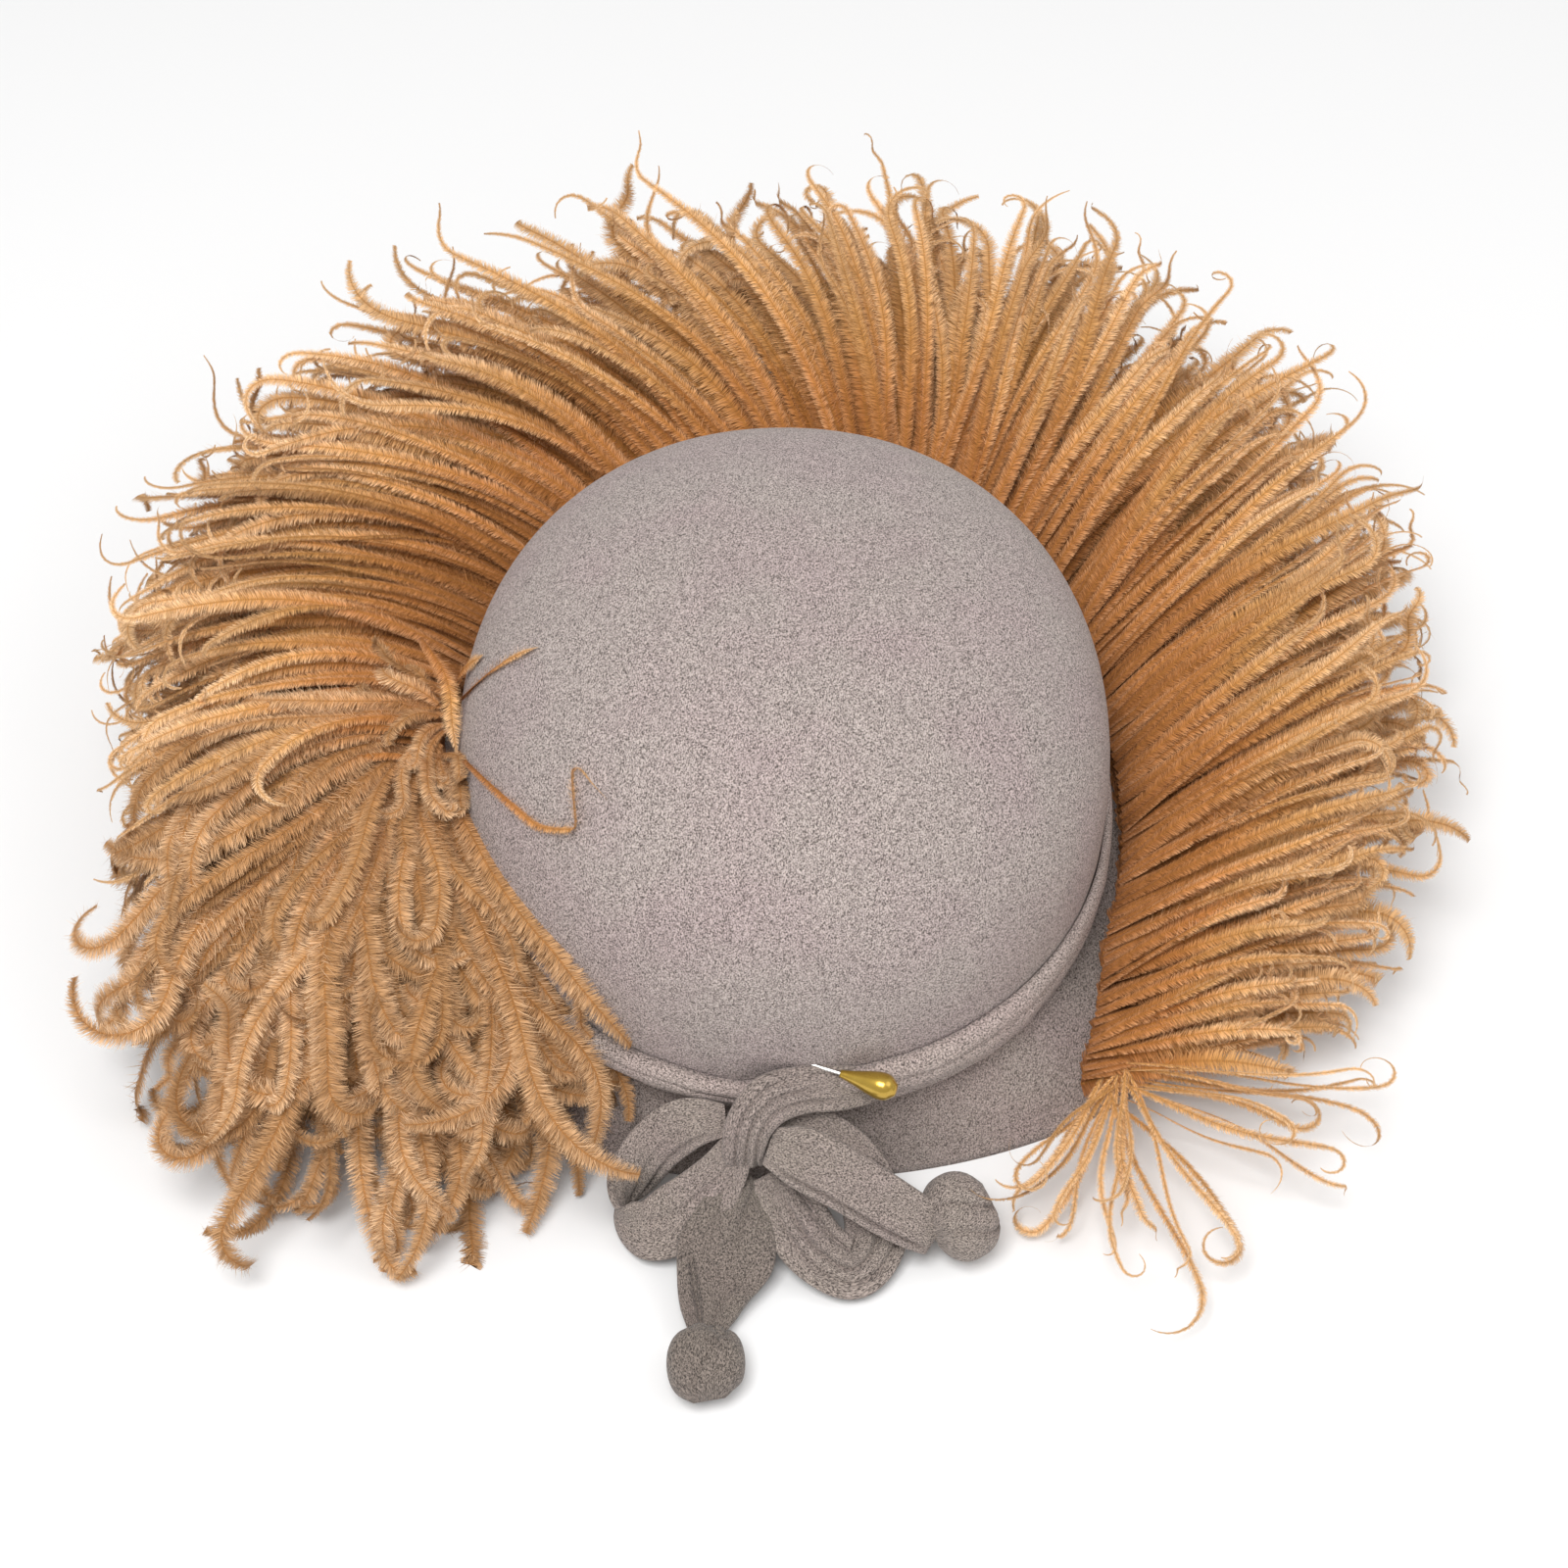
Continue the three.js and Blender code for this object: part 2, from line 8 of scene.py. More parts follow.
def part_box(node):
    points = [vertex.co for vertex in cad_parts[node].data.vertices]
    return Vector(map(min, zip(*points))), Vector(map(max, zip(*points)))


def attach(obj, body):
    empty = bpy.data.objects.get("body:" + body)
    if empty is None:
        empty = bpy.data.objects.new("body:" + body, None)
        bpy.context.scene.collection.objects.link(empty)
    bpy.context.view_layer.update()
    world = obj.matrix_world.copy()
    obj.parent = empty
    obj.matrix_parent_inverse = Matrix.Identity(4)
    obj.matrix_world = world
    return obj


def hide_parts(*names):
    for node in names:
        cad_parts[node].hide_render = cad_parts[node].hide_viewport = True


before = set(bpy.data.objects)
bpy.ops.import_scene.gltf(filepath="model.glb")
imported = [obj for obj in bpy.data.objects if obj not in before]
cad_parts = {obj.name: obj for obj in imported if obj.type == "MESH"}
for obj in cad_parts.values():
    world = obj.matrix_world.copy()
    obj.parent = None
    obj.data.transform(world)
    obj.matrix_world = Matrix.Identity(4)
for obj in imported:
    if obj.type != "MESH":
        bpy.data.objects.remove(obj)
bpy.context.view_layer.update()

# Camera: the photo is taken with a long lens from 47 degrees above the front of the hat, with the
# crown in the middle of the picture. The hat's own middle is the middle of its crown.
crown_low, crown_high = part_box("crown")
HAT_X, HAT_Y = ((crown_low + crown_high) / 2).xy
MM = 0.001
CAMERA_HEIGHT = math.radians(47)
CAMERA_DISTANCE = 0.9
LENS_MM = 73.0


def at(x, y, z):
    """A point given in mm from the foot of the crown's middle."""
    return Vector((HAT_X + x * MM, HAT_Y + y * MM, z * MM))


camera_data = bpy.data.cameras.new("camera")
camera_data.lens = LENS_MM
camera = bpy.data.objects.new("camera", camera_data)
bpy.context.collection.objects.link(camera)
aim = at(0, 6.4, 40)
towards_camera = Vector((0, -math.cos(CAMERA_HEIGHT), math.sin(CAMERA_HEIGHT)))
camera.location = aim + towards_camera * CAMERA_DISTANCE
camera.rotation_euler = (-towards_camera).to_track_quat("-Z", "Y").to_euler()
bpy.context.scene.camera = camera

# Crown: a dome of pebbled crepe drawn over a light stiffened base. It is widest a little below the
# dome and drawn in at the waist, where the sash gathers it into small puckers.
WALL = 2.0 * MM
PLAN_POWER = 2.1
WIDEST = 61 * MM
DOME_POWER = 2.3
DRAWN_IN = 0.032
WAIST = crown_low.z
CROWN_HALF = (crown_high - crown_low).xy / 2
DOME = crown_high.z - WIDEST
AROUND = 160
DOME_ROWS, SIDE_ROWS = 34, 14
DOME_RINGS_END = 0.985
PUCKER_DEPTH = 0.7 * MM
PUCKER_REACH = 26 * MM


def crown_scale(height):
    """How wide the crown is at a height, against its widest level."""
    below = 1 - DRAWN_IN * ((WIDEST - np.minimum(height, WIDEST)) / (WIDEST - WAIST)) ** 2
    up = np.clip((height - WIDEST) / DOME, 0, 1)
    return np.where(height <= WIDEST, below, (1 - up**DOME_POWER) ** (1 / DOME_POWER))


def plan_point(angle, half_width, half_depth, height):
    """Points of the crown's rounded oval, from angles in degrees."""
    turn = np.radians(angle)
    bulge = 2 / PLAN_POWER
    x = half_width * np.sign(np.cos(turn)) * np.abs(np.cos(turn)) ** bulge
    y = half_depth * np.sign(np.sin(turn)) * np.abs(np.sin(turn)) ** bulge
    return np.stack(np.broadcast_arrays(HAT_X + x, HAT_Y + y, height), -1)


def beside_crown(angle, height, out):
    """Points out from the crown's wall by a distance in metres."""
    scale = crown_scale(height)
    return plan_point(angle, CROWN_HALF.x * scale + out, CROWN_HALF.y * scale + out, height)


def loft(name, rings, material, uv=None, tips=None, joined=False):
    """A smooth closed mesh through rings of points, joined end to end or closed by a tip at each end."""
    rings = np.asarray(rings, float)
    count, around = rings.shape[:2]
    verts = rings.reshape(-1, 3)
    faces, face_uvs = [], []
    for ring in range(count if joined else count - 1):
        far = (ring + 1) % count
        for i in range(around):
            j = (i + 1) % around
            faces.append((ring * around + i, ring * around + j, far * around + j, far * around + i))
            if uv is not None:
                face_uvs.append((uv[ring][i], uv[ring][i + 1], uv[far][i + 1], uv[far][i]))
    if not joined:
        ends = [rings[0].mean(0), rings[-1].mean(0)] if tips is None else tips
        verts = np.concatenate([verts, ends])
        for tip, ring in ((len(verts) - 2, 0), (len(verts) - 1, count - 1)):
            for i in range(around):
                j = (i + 1) % around
                pair = (ring * around + i, ring * around + j)
                faces.append((tip, *(pair[::-1] if ring == 0 else pair)))
                if uv is not None:
                    face_uvs.append((uv[ring][i], uv[ring][i + 1], uv[ring][i]))
    mesh = bpy.data.meshes.new(name)
    mesh.from_pydata(verts.tolist(), [], faces)
    if uv is not None:
        layer = mesh.uv_layers.new(name="UVMap")
        layer.data.foreach_set("uv", np.concatenate([np.asarray(corners).ravel() for corners in face_uvs]))
    mesh.materials.append(material)
    mesh.shade_smooth()
    first = np.array([face[:3] for face in faces])
    corners = verts[first]
    if np.einsum("ij,ij->i", corners[:, 0], np.cross(corners[:, 1], corners[:, 2])).sum() < 0:
        mesh.flip_normals()
    piece = bpy.data.objects.new(name, mesh)
    bpy.context.collection.objects.link(piece)
    return piece


def node_material(name):
    """A new material, its node tree and its Principled shader."""
    material = bpy.data.materials.new(name)
    material.use_nodes = True
    tree = material.node_tree
    return material, tree, tree.nodes["Principled BSDF"]


def settled(node, **values):
    """A node with constants set on its own input sockets. A _ in a name stands for a space."""
    for name, value in values.items():
        node.inputs[name.replace("_", " ")].default_value = value
    return node


def crepe_group():
    """Crepe grain: a maze of short wavy cords, as a colour and a height, with soft pink patches in
    the dye."""
    group = bpy.data.node_groups.new("crepe grain", "ShaderNodeTree")
    put = group.interface.new_socket
    put("Vector", in_out="INPUT", socket_type="NodeSocketVector")
    for label in ("Pale", "Deep", "Pink"):
        put(label, in_out="INPUT", socket_type="NodeSocketColor")
    put("Cords per metre", in_out="INPUT", socket_type="NodeSocketFloat")
    put("Color", in_out="OUTPUT", socket_type="NodeSocketColor")
    put("Height", in_out="OUTPUT", socket_type="NodeSocketFloat")
    nodes, join = group.nodes, group.links.new
    given, result = nodes.new("NodeGroupInput"), nodes.new("NodeGroupOutput")
    slant = nodes.new("ShaderNodeMapping")
    settled(slant, Rotation=(0, 0, math.radians(-28)), Scale=(1.25, 0.8, 1))
    maze = settled(nodes.new("ShaderNodeTexNoise"), Detail=1.2, Distortion=0.9)
    cord = settled(nodes.new("ShaderNodeMapRange"), From_Min=0.36, From_Max=0.62)
    patches = settled(nodes.new("ShaderNodeTexNoise"), Scale=38, Detail=2)
    patch_share = settled(nodes.new("ShaderNodeMapRange"), From_Min=0.38, From_Max=0.66, To_Max=0.6)
    dye, cloth = nodes.new("ShaderNodeMix"), nodes.new("ShaderNodeMix")
    dye.data_type = cloth.data_type = "RGBA"
    join(given.outputs["Vector"], slant.inputs["Vector"])
    join(slant.outputs["Vector"], maze.inputs["Vector"])
    join(given.outputs["Vector"], patches.inputs["Vector"])
    join(given.outputs["Cords per metre"], maze.inputs["Scale"])
    join(maze.outputs["Fac"], cord.inputs["Value"])
    join(patches.outputs["Fac"], patch_share.inputs["Value"])
    join(patch_share.outputs["Result"], dye.inputs["Factor"])
    join(given.outputs["Pale"], dye.inputs[6])
    join(given.outputs["Pink"], dye.inputs[7])
    join(cord.outputs["Result"], cloth.inputs["Factor"])
    join(given.outputs["Deep"], cloth.inputs[6])
    join(dye.outputs[2], cloth.inputs[7])
    join(cloth.outputs[2], result.inputs["Color"])
    join(cord.outputs["Result"], result.inputs["Height"])
    return group


crepe = crepe_group()


def crepe_material(name, pale, deep, pink, on_uv=False, cords=2500.0):
    """Crepe in three dyes, with its grain on the object or along a strip's own UV map in metres."""
    material, tree, shader = node_material(name)
    place = tree.nodes.new("ShaderNodeUVMap" if on_uv else "ShaderNodeTexCoord")
    if on_uv:
        place.uv_map = "UVMap"
    grain = tree.nodes.new("ShaderNodeGroup")
    grain.node_tree = crepe
    settled(grain, Pale=(*pale, 1), Deep=(*deep, 1), Pink=(*pink, 1), Cords_per_metre=cords)
    bump = settled(tree.nodes.new("ShaderNodeBump"), Strength=0.5, Distance=0.2 * MM)
    tree.links.new(place.outputs["UV" if on_uv else "Object"], grain.inputs["Vector"])
    tree.links.new(grain.outputs["Color"], shader.inputs["Base Color"])
    tree.links.new(grain.outputs["Height"], bump.inputs["Height"])
    tree.links.new(bump.outputs["Normal"], shader.inputs["Normal"])
    settled(shader, Roughness=0.92, Sheen_Weight=0.12, Sheen_Roughness=0.5)
    return material


crown_crepe = crepe_material("crown_crepe", (0.55, 0.47, 0.435), (0.075, 0.057, 0.052), (0.54, 0.42, 0.415))


def crown_wall(inset):
    """Rings from the top of the dome to the waist, with puckers that die away above the sash."""
    angles = np.arange(AROUND) * 360 / AROUND
    rings = []
    for step in np.linspace(DOME_RINGS_END, 0, DOME_ROWS):
        turn = step * math.pi / 2
        scale = math.cos(turn) ** (2 / DOME_POWER)
        height = WIDEST + (DOME - inset) * math.sin(turn) ** (2 / DOME_POWER)
        half_width, half_depth = (CROWN_HALF.x - inset) * scale, (CROWN_HALF.y - inset) * scale
        rings.append(plan_point(angles, half_width, half_depth, height))
    for height in np.linspace(WIDEST, WAIST, SIDE_ROWS)[1:]:
        near = max(0.0, 1 - (height - WAIST) / PUCKER_REACH)
        pucker = np.array([noise.noise(Vector((a * 0.16, height * 30, 3))) for a in angles])
        rings.append(beside_crown(angles, height, -inset + PUCKER_DEPTH * near * pucker))
    return rings


tips = [(HAT_X, HAT_Y, crown_high.z), (HAT_X, HAT_Y, crown_high.z - WALL)]
crown = loft("crown_cloth", crown_wall(0) + crown_wall(WALL)[::-1], crown_crepe, tips=tips)
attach(crown, "root")
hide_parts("crown")

# Brim: a short bell of the same crepe, coloured darker all over as painted shade, from the waist down to
# the oval rim that the hat stands on.
brim_low, brim_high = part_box("brim")
RIM_HALF = (brim_high - brim_low).xy / 2
RIM_MIDDLE = (brim_high + brim_low).xy / 2
BEND_REACH = 0.45
BEND_HEIGHT = 16 * MM
BRIM_TOP = brim_high.z
BRIM_ROWS = 15


def brim_section(angle):
    """The brim's outer curve and its inner one, a wall inside it, at one angle."""
    waist = beside_crown(angle, WAIST, 0) * (1, 1, 0) + (0, 0, BRIM_TOP)
    rim = plan_point(angle, RIM_HALF.x, RIM_HALF.y, 0.0)
    rim[:2] += np.array(RIM_MIDDLE) - (HAT_X, HAT_Y)
    bend = waist + (rim - waist) * BEND_REACH
    bend[2] = BEND_HEIGHT
    steps = np.linspace(0, 1, BRIM_ROWS)[:, None]
    outer = waist * (1 - steps) ** 2 + 2 * bend * steps * (1 - steps) + rim * steps**2
    along = 2 * (bend - waist) * (1 - steps) + 2 * (rim - bend) * steps
    outward = beside_crown(angle, WIDEST, 0.001) - beside_crown(angle, WIDEST, 0)
    outward /= np.linalg.norm(outward)
    inset = outward * along[:, 2:] - np.array((0, 0, 1)) * (along @ outward)[:, None]
    inner = outer + inset / np.linalg.norm(inset, axis=1)[:, None] * WALL
    inner[0] = beside_crown(angle, WAIST, -WALL) * (1, 1, 0) + (0, 0, BRIM_TOP)
    inner[:, 2] = np.maximum(inner[:, 2], 0)
    return np.concatenate([outer, inner[::-1]])


# The brim's crepe colours are darker than the crown's: painted shade.
brim_crepe = crepe_material("brim_crepe", (0.46, 0.385, 0.345), (0.07, 0.052, 0.045), (0.46, 0.35, 0.335))
sections = [brim_section(step * 360 / AROUND) for step in range(AROUND)]
brim = loft("brim_cloth", sections, brim_crepe, joined=True)
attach(brim, "root")
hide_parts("brim")

# Sash: a bias strip of the crepe, turned and folded into a soft roll that is tied round the waist.
# A flat layer of it shows under the roll on the left, and its edge rolls over on the right.
SASH_INSET = 0.4 * MM
FLAT_LAYER = 1.6 * MM
SASH_STEP_DEGREES = 1.5
SASH_COLUMNS = ("azimuth", "middle", "half_width", "thickness", "layer_low")
SASH = [
    (-180, 40.0, 7.0, 3.0, 31.5),
    (-146, 40.5, 5.5, 3.6, 30.5),
    (-125, 40.2, 5.0, 5.0, 30.0),
    (-108, 38.2, 4.8, 5.2, 30.5),
    (-97, 36.0, 4.6, 4.6, 30.0),
    (-87, 38.2, 6.6, 5.2, 30.0),
    (-75, 38.4, 8.0, 5.2, 29.6),
    (-55, 39.0, 9.0, 5.0, 29.4),
    (-35, 39.6, 9.0, 3.6, 29.6),
    (-10, 40.0, 7.6, 3.0, 31.5),
    (180, 40.0, 7.0, 3.0, 31.5),
]


def look_up(rows, columns, value):
    """Every column of a table at a value of its first one, between two rows."""
    table = np.array(rows, float)
    return {name: np.interp(value, table[:, 0], table[:, i]) for i, name in enumerate(columns)}


def sash_section(angle):
    """The sash's section at one angle: flat inside, then the roll with its creases and the layer."""
    row = look_up(SASH, SASH_COLUMNS, angle)
    middle, half_width, thickness, low = (row[name] * MM for name in SASH_COLUMNS[1:])
    turns = np.radians(np.linspace(78, -78, 25))
    wander = 0.22 * noise.noise(Vector((angle * 0.03, 0, 0)))
    crease = 0.16 * np.exp(-(((np.sin(turns) - 0.3 - wander) / 0.09) ** 2))
    crease += 0.1 * np.exp(-(((np.sin(turns) + 0.38 + wander) / 0.12) ** 2))
    ripple = np.array([noise.noise(Vector((angle * 0.16, math.sin(t) * 1.3, 5))) for t in turns]) * 0.1
    swell = np.cos(turns) ** 0.6 * (1 - crease + ripple)
    roll = beside_crown(angle, middle + half_width * np.sin(turns), SASH_INSET + thickness * swell)
    inner_heights = np.array([low, (low + middle) / 2, middle, middle + half_width])
    inner = beside_crown(angle, inner_heights, SASH_INSET)
    layer_heights = np.array([middle - half_width, (middle - half_width + low) / 2, low])
    layer = beside_crown(angle, layer_heights, SASH_INSET + FLAT_LAYER)
    return np.concatenate([inner, roll, layer])


def strip_uv(rings, joined=False):
    """UVs in metres: along a strip and round its section."""
    middles = rings.mean(1)
    after = np.roll(middles, -1, 0) if joined else np.vstack([middles[1:], middles[-1:]])
    along = np.concatenate([[0], np.cumsum(np.linalg.norm(after - middles, axis=1))])[: len(rings)]
    edges = np.linalg.norm(np.roll(rings, -1, 1) - rings, axis=2).mean(0)
    across = np.concatenate([[0], np.cumsum(edges)])
    return np.stack(np.meshgrid(across, along), -1)


sash_crepe = crepe_material(
    "sash_crepe", (0.55, 0.46, 0.415), (0.09, 0.07, 0.062), (0.55, 0.42, 0.4), on_uv=True
)
sections = np.array([sash_section(angle) for angle in np.arange(-180, 180, SASH_STEP_DEGREES)])
sash = loft("sash_roll", sections, sash_crepe, uv=strip_uv(sections, joined=True), joined=True)
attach(sash, "root")
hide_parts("sash")

# Bow: the sash's two ends, turned bias tubes pressed nearly flat, tied over the front. The right
# end sweeps in from the sash and turns down over the knot, and each tail ends in a ball knot.
BOW_COLUMNS = ("x", "y", "z", "width", "thickness", "face_azimuth", "face_height")
KNOT = [
    (23.0, -101.3, 40.6, 10, 2.4, -76, 42),
    (14.0, -103.4, 42.4, 12, 3.6, -80, 45),
    (5.0, -105.4, 44.2, 12.5, 4.6, -85, 50),
    (-3.5, -108.2, 43.6, 13.5, 6.0, -95, 50),
    (-8.6, -112.4, 39.5, 12.5, 7.5, -95, 35),
    (-10.4, -115.0, 31.0, 11.5, 8.0, -90, 10),
    (-9.8, -113.4, 23.0, 12, 7.0, -90, -20),
]
LOOP_LEFT = [
    (-15.0, -110.0, 37.5, 9, 3.2, 75, -50),
    (-25.5, -108.4, 33.2, 14, 3.2, 75, -48),
    (-34.5, -109.8, 24.5, 14.5, 3.2, 85, -40),
    (-40.6, -113.8, 14.4, 14, 3.2, 130, -25),
    (-42.6, -119.4, 9.2, 14, 3.4, 200, 0),
    (-36.0, -125.0, 9.6, 16, 3.4, 245, 35),
    (-26.6, -124.0, 15.0, 18.5, 3.4, 262, 45),
    (-17.4, -119.2, 23.8, 14.5, 3.4, 270, 45),
    (-12.0, -114.4, 32.0, 10, 3.4, 270, 45),
]
LOOP_RIGHT = [
    (-4.0, -110.0, 34.5, 9, 3.4, -85, 60),
    (4.5, -109.4, 33.6, 12, 3.4, -85, 60),
    (14.0, -111.0, 27.0, 14, 3.4, -80, 55),
    (21.5, -117.0, 18.0, 16, 3.4, -75, 50),
    (24.0, -127.0, 10.0, 17, 3.4, -75, 50),
    (18.0, -135.4, 7.2, 16, 3.4, -90, 60),
    (9.0, -131.5, 9.6, 17, 3.4, -95, 55),
    (2.0, -124.6, 16.4, 17, 3.4, -95, 50),
    (-3.5, -117.0, 24.0, 11, 3.4, -90, 40),
]
TAIL_RIGHT = [
    (-4.0, -116.5, 35.0, 11, 3.4, -90, 45),
    (5.0, -119.0, 33.0, 16, 4.0, -90, 50),
    (17.0, -122.5, 27.0, 16, 4.0, -88, 48),
    (29.0, -126.0, 19.6, 15.5, 4.0, -88, 45),
    (40.0, -128.5, 12.6, 13.5, 4.0, -86, 42),
]
TAIL_LEFT = [
    (-9.0, -117.0, 22.5, 13, 4.0, -90, 30),
    (-12.2, -124.0, 17.5, 19, 4.0, -90, 38),
    (-15.0, -133.0, 11.5, 26, 4.0, -90, 52),
    (-18.4, -143.0, 7.2, 19, 4.0, -92, 66),
    (-20.2, -153.4, 5.4, 10.5, 4.6, -90, 76),
]
TAIL_KNOT_RIGHT = [
    (38.6, -128.0, 13.0, 10, 8, -90, 45),
    (41.2, -126.4, 13.2, 20, 16, -90, 45),
    (46.0, -123.6, 13.8, 24, 19, -90, 45),
    (51.0, -120.6, 14.6, 20, 16, -90, 45),
    (54.0, -118.8, 15.0, 10, 8, -90, 45),
]
TAIL_KNOT_LEFT = [
    (-19.6, -155.4, 6.4, 10, 7, -90, 70),
    (-19.6, -158.8, 7.8, 17, 12, -90, 70),
    (-19.8, -165.2, 9.0, 20, 15, -90, 70),
    (-19.4, -171.6, 8.2, 17, 12, -90, 70),
    (-18.8, -175.2, 7.2, 9, 6, -90, 70),
]
# Folds: where each starts and ends along the tube, its place across at both, its depth in mm and
# its width. A negative depth is a ridge. The place runs from -1 to 1 across the tube, and a fold
# presses in its front and back alike.
FOLDS = {
    "bow_knot": [
        (0.12, 1, -0.5, -0.55, 1.5, 0.08),
        (0.25, 1, -0.05, -0.12, 1.7, 0.08),
        (0.3, 1, 0.42, 0.35, 1.4, 0.08),
        (0.05, 0.5, 0.75, 0.5, 0.9, 0.08),
    ],
    "bow_loop_left": [
        (0, 0.45, 0.62, 0.7, 1.4, 0.07),
        (0.1, 0.5, 0.1, 0.35, 0.8, 0.1),
        (0.6, 1, -0.3, 0.1, 1.0, 0.09),
        (0.7, 1, 0.5, 0.35, 0.9, 0.09),
    ],
    "bow_loop_right": [
        (0.0, 0.5, 0.3, 0.1, 1.1, 0.1),
        (0.3, 0.62, -0.75, -0.55, 1.5, 0.07),
        (0.5, 1, 0.55, 0.62, 2.2, 0.07),
        (0.45, 0.95, 0.2, 0.25, -1.2, 0.12),
        (0.45, 0.95, -0.1, 0.05, 2.0, 0.07),
        (0.55, 0.95, -0.55, -0.35, 1.4, 0.08),
    ],
    "bow_tail_left": [
        (0, 0.5, -0.35, -0.1, 1.3, 0.1),
        (0, 0.45, 0.3, 0.45, 1.0, 0.1),
        (0.55, 1, 0.72, 0.2, 2.6, 0.1),
        (0.6, 1, -0.5, -0.2, 1.2, 0.1),
    ],
    "bow_tail_right": [
        (0.02, 1, 0.74, 0.7, 1.9, 0.05),
        (0, 0.4, -0.5, -0.1, 0.9, 0.08),
        (0, 0.3, 0.1, 0.3, 0.8, 0.08),
    ],
    "tail_knot_left": [(0.05, 0.95, -0.8, 0.6, 1.5, 0.06), (0, 0.35, 0.3, -0.5, 1.2, 0.1)],
    "tail_knot_right": [
        (0, 1, -0.85, 0.3, 2.4, 0.07),
        (0.2, 1, 0.05, 0.95, 2.0, 0.07),
        (0, 0.35, 0.6, 0.0, 1.6, 0.1),
    ],
}
RIBBON_SIDES = 104
RIBBON_STEP = 1.0 * MM
CLOTH_OVER_FLOOR = 0.6 * MM


def along_rows(table, shares):
    """A table's rows blended along one smooth curve through their first three columns."""
    gaps = np.linalg.norm(np.diff(table[:, :3], axis=0), axis=1) ** 0.5
    knots = np.concatenate([[0], np.cumsum(gaps)])
    slopes = np.gradient(table, knots, axis=0)
    out = []
    for value in shares * knots[-1]:
        i = min(np.searchsorted(knots, value, side="right") - 1, len(knots) - 2)
        span = knots[i + 1] - knots[i]
        s = (value - knots[i]) / span
        ease = s * s * (3 - 2 * s)
        bend = s * (1 - s) ** 2 * slopes[i] + s * s * (s - 1) * slopes[i + 1]
        out.append(table[i] * (1 - ease) + table[i + 1] * ease + span * bend)
    return np.array(out)


def ribbon(name, rows, material, folds, boxy, soft, seed):
    """A tube pressed nearly flat along a table's rows, with its folds and the slackness of cloth."""
    table = np.array(rows, float)
    table[:, :5] *= MM
    length = np.linalg.norm(np.diff(table[:, :3], axis=0), axis=1).sum()
    line = along_rows(table, np.linspace(0, 1, int(length / RIBBON_STEP)))
    centres = line[:, :3] + (HAT_X, HAT_Y, 0)
    along = np.gradient(centres, axis=0)
    along /= np.linalg.norm(along, axis=1)[:, None]
    azimuth, height = np.radians(line[:, 5]), np.radians(line[:, 6])
    level = np.cos(height)
    face = np.stack([level * np.cos(azimuth), level * np.sin(azimuth), np.sin(height)], -1)
    wide = np.cross(along, face)
    wide /= np.linalg.norm(wide, axis=1)[:, None]
    thick = np.cross(wide, along)
    turns = np.arange(RIBBON_SIDES) * 2 * math.pi / RIBBON_SIDES
    across = np.cos(turns)
    depth = np.sign(np.sin(turns)) * (1 - np.abs(across) ** boxy) ** (1 / boxy)
    rings = []
    for i, (centre, w, t) in enumerate(zip(centres, wide, thick)):
        s = i / (len(centres) - 1)
        end = min(1.0, 8 * s, 8 * (1 - s)) ** 0.5
        sag = [soft * noise.noise(Vector((s * 5 + seed, c * 1.3, d * 0.5))) for c, d in zip(across, depth)]
        fine = [soft * 0.4 * noise.noise(Vector((s * 14, c * 3.2 + seed, d))) for c, d in zip(across, depth)]
        lift = line[i, 4] / 2 * depth + (np.array(sag) + np.array(fine)) * MM
        for first, last, start, stop, deep, width in folds:
            if first <= s <= last:
                share = (s - first) / (last - first)
                place = start + (stop - start) * share
                fade = min(1.0, 6 * share, 6 * (1 - share) + 0.3)
                lift -= deep * MM * fade * np.sign(depth) * np.exp(-(((across - place) / width) ** 2))
        reach = line[i, 3] / 2 * across * (0.9 + 0.1 * end)
        rings.append(centre + w * reach[:, None] + t * (lift * end)[:, None])
    rings = np.array(rings)
    rings[:, :, 2] = np.maximum(rings[:, :, 2], CLOTH_OVER_FLOOR)
    return loft(name, rings, material, uv=strip_uv(rings))


# The bow's crepe is coloured darker than the sash it is made of: painted shade.
bow_crepe = crepe_material(
    "bow_crepe", (0.4, 0.335, 0.29), (0.06, 0.046, 0.04), (0.39, 0.3, 0.285), on_uv=True
)
# The left tail and its ball knot are coloured darker still: painted shade where they lie low.
tail_crepe_deeper_painted_shade = crepe_material(
    "tail_crepe_deeper_painted_shade", (0.27, 0.225, 0.19), (0.042, 0.033, 0.028), (0.27, 0.205, 0.185), on_uv=True
)
for seed, (name, rows, material, boxy, soft, fill) in enumerate(
    [
        ("bow_knot", KNOT, bow_crepe, 2.8, 0.6, 0.7),
        ("bow_loop_left", LOOP_LEFT, bow_crepe, 4.5, 0.8, 0.4),
        ("bow_loop_right", LOOP_RIGHT, bow_crepe, 4.5, 0.8, 0.4),
        ("bow_tail_left", TAIL_LEFT, tail_crepe_deeper_painted_shade, 4.0, 1.2, 0.3),
        ("bow_tail_right", TAIL_RIGHT, bow_crepe, 5.0, 0.5, 0.4),
        ("tail_knot_left", TAIL_KNOT_LEFT, tail_crepe_deeper_painted_shade, 2.2, 0.8, 0.9),
        ("tail_knot_right", TAIL_KNOT_RIGHT, bow_crepe, 2.2, 0.8, 0.9),
    ]
):
    piece = ribbon(name + "_cloth", rows, material, FOLDS[name], boxy, soft, seed * 3.7)
    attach(piece, "root")
    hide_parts(name)

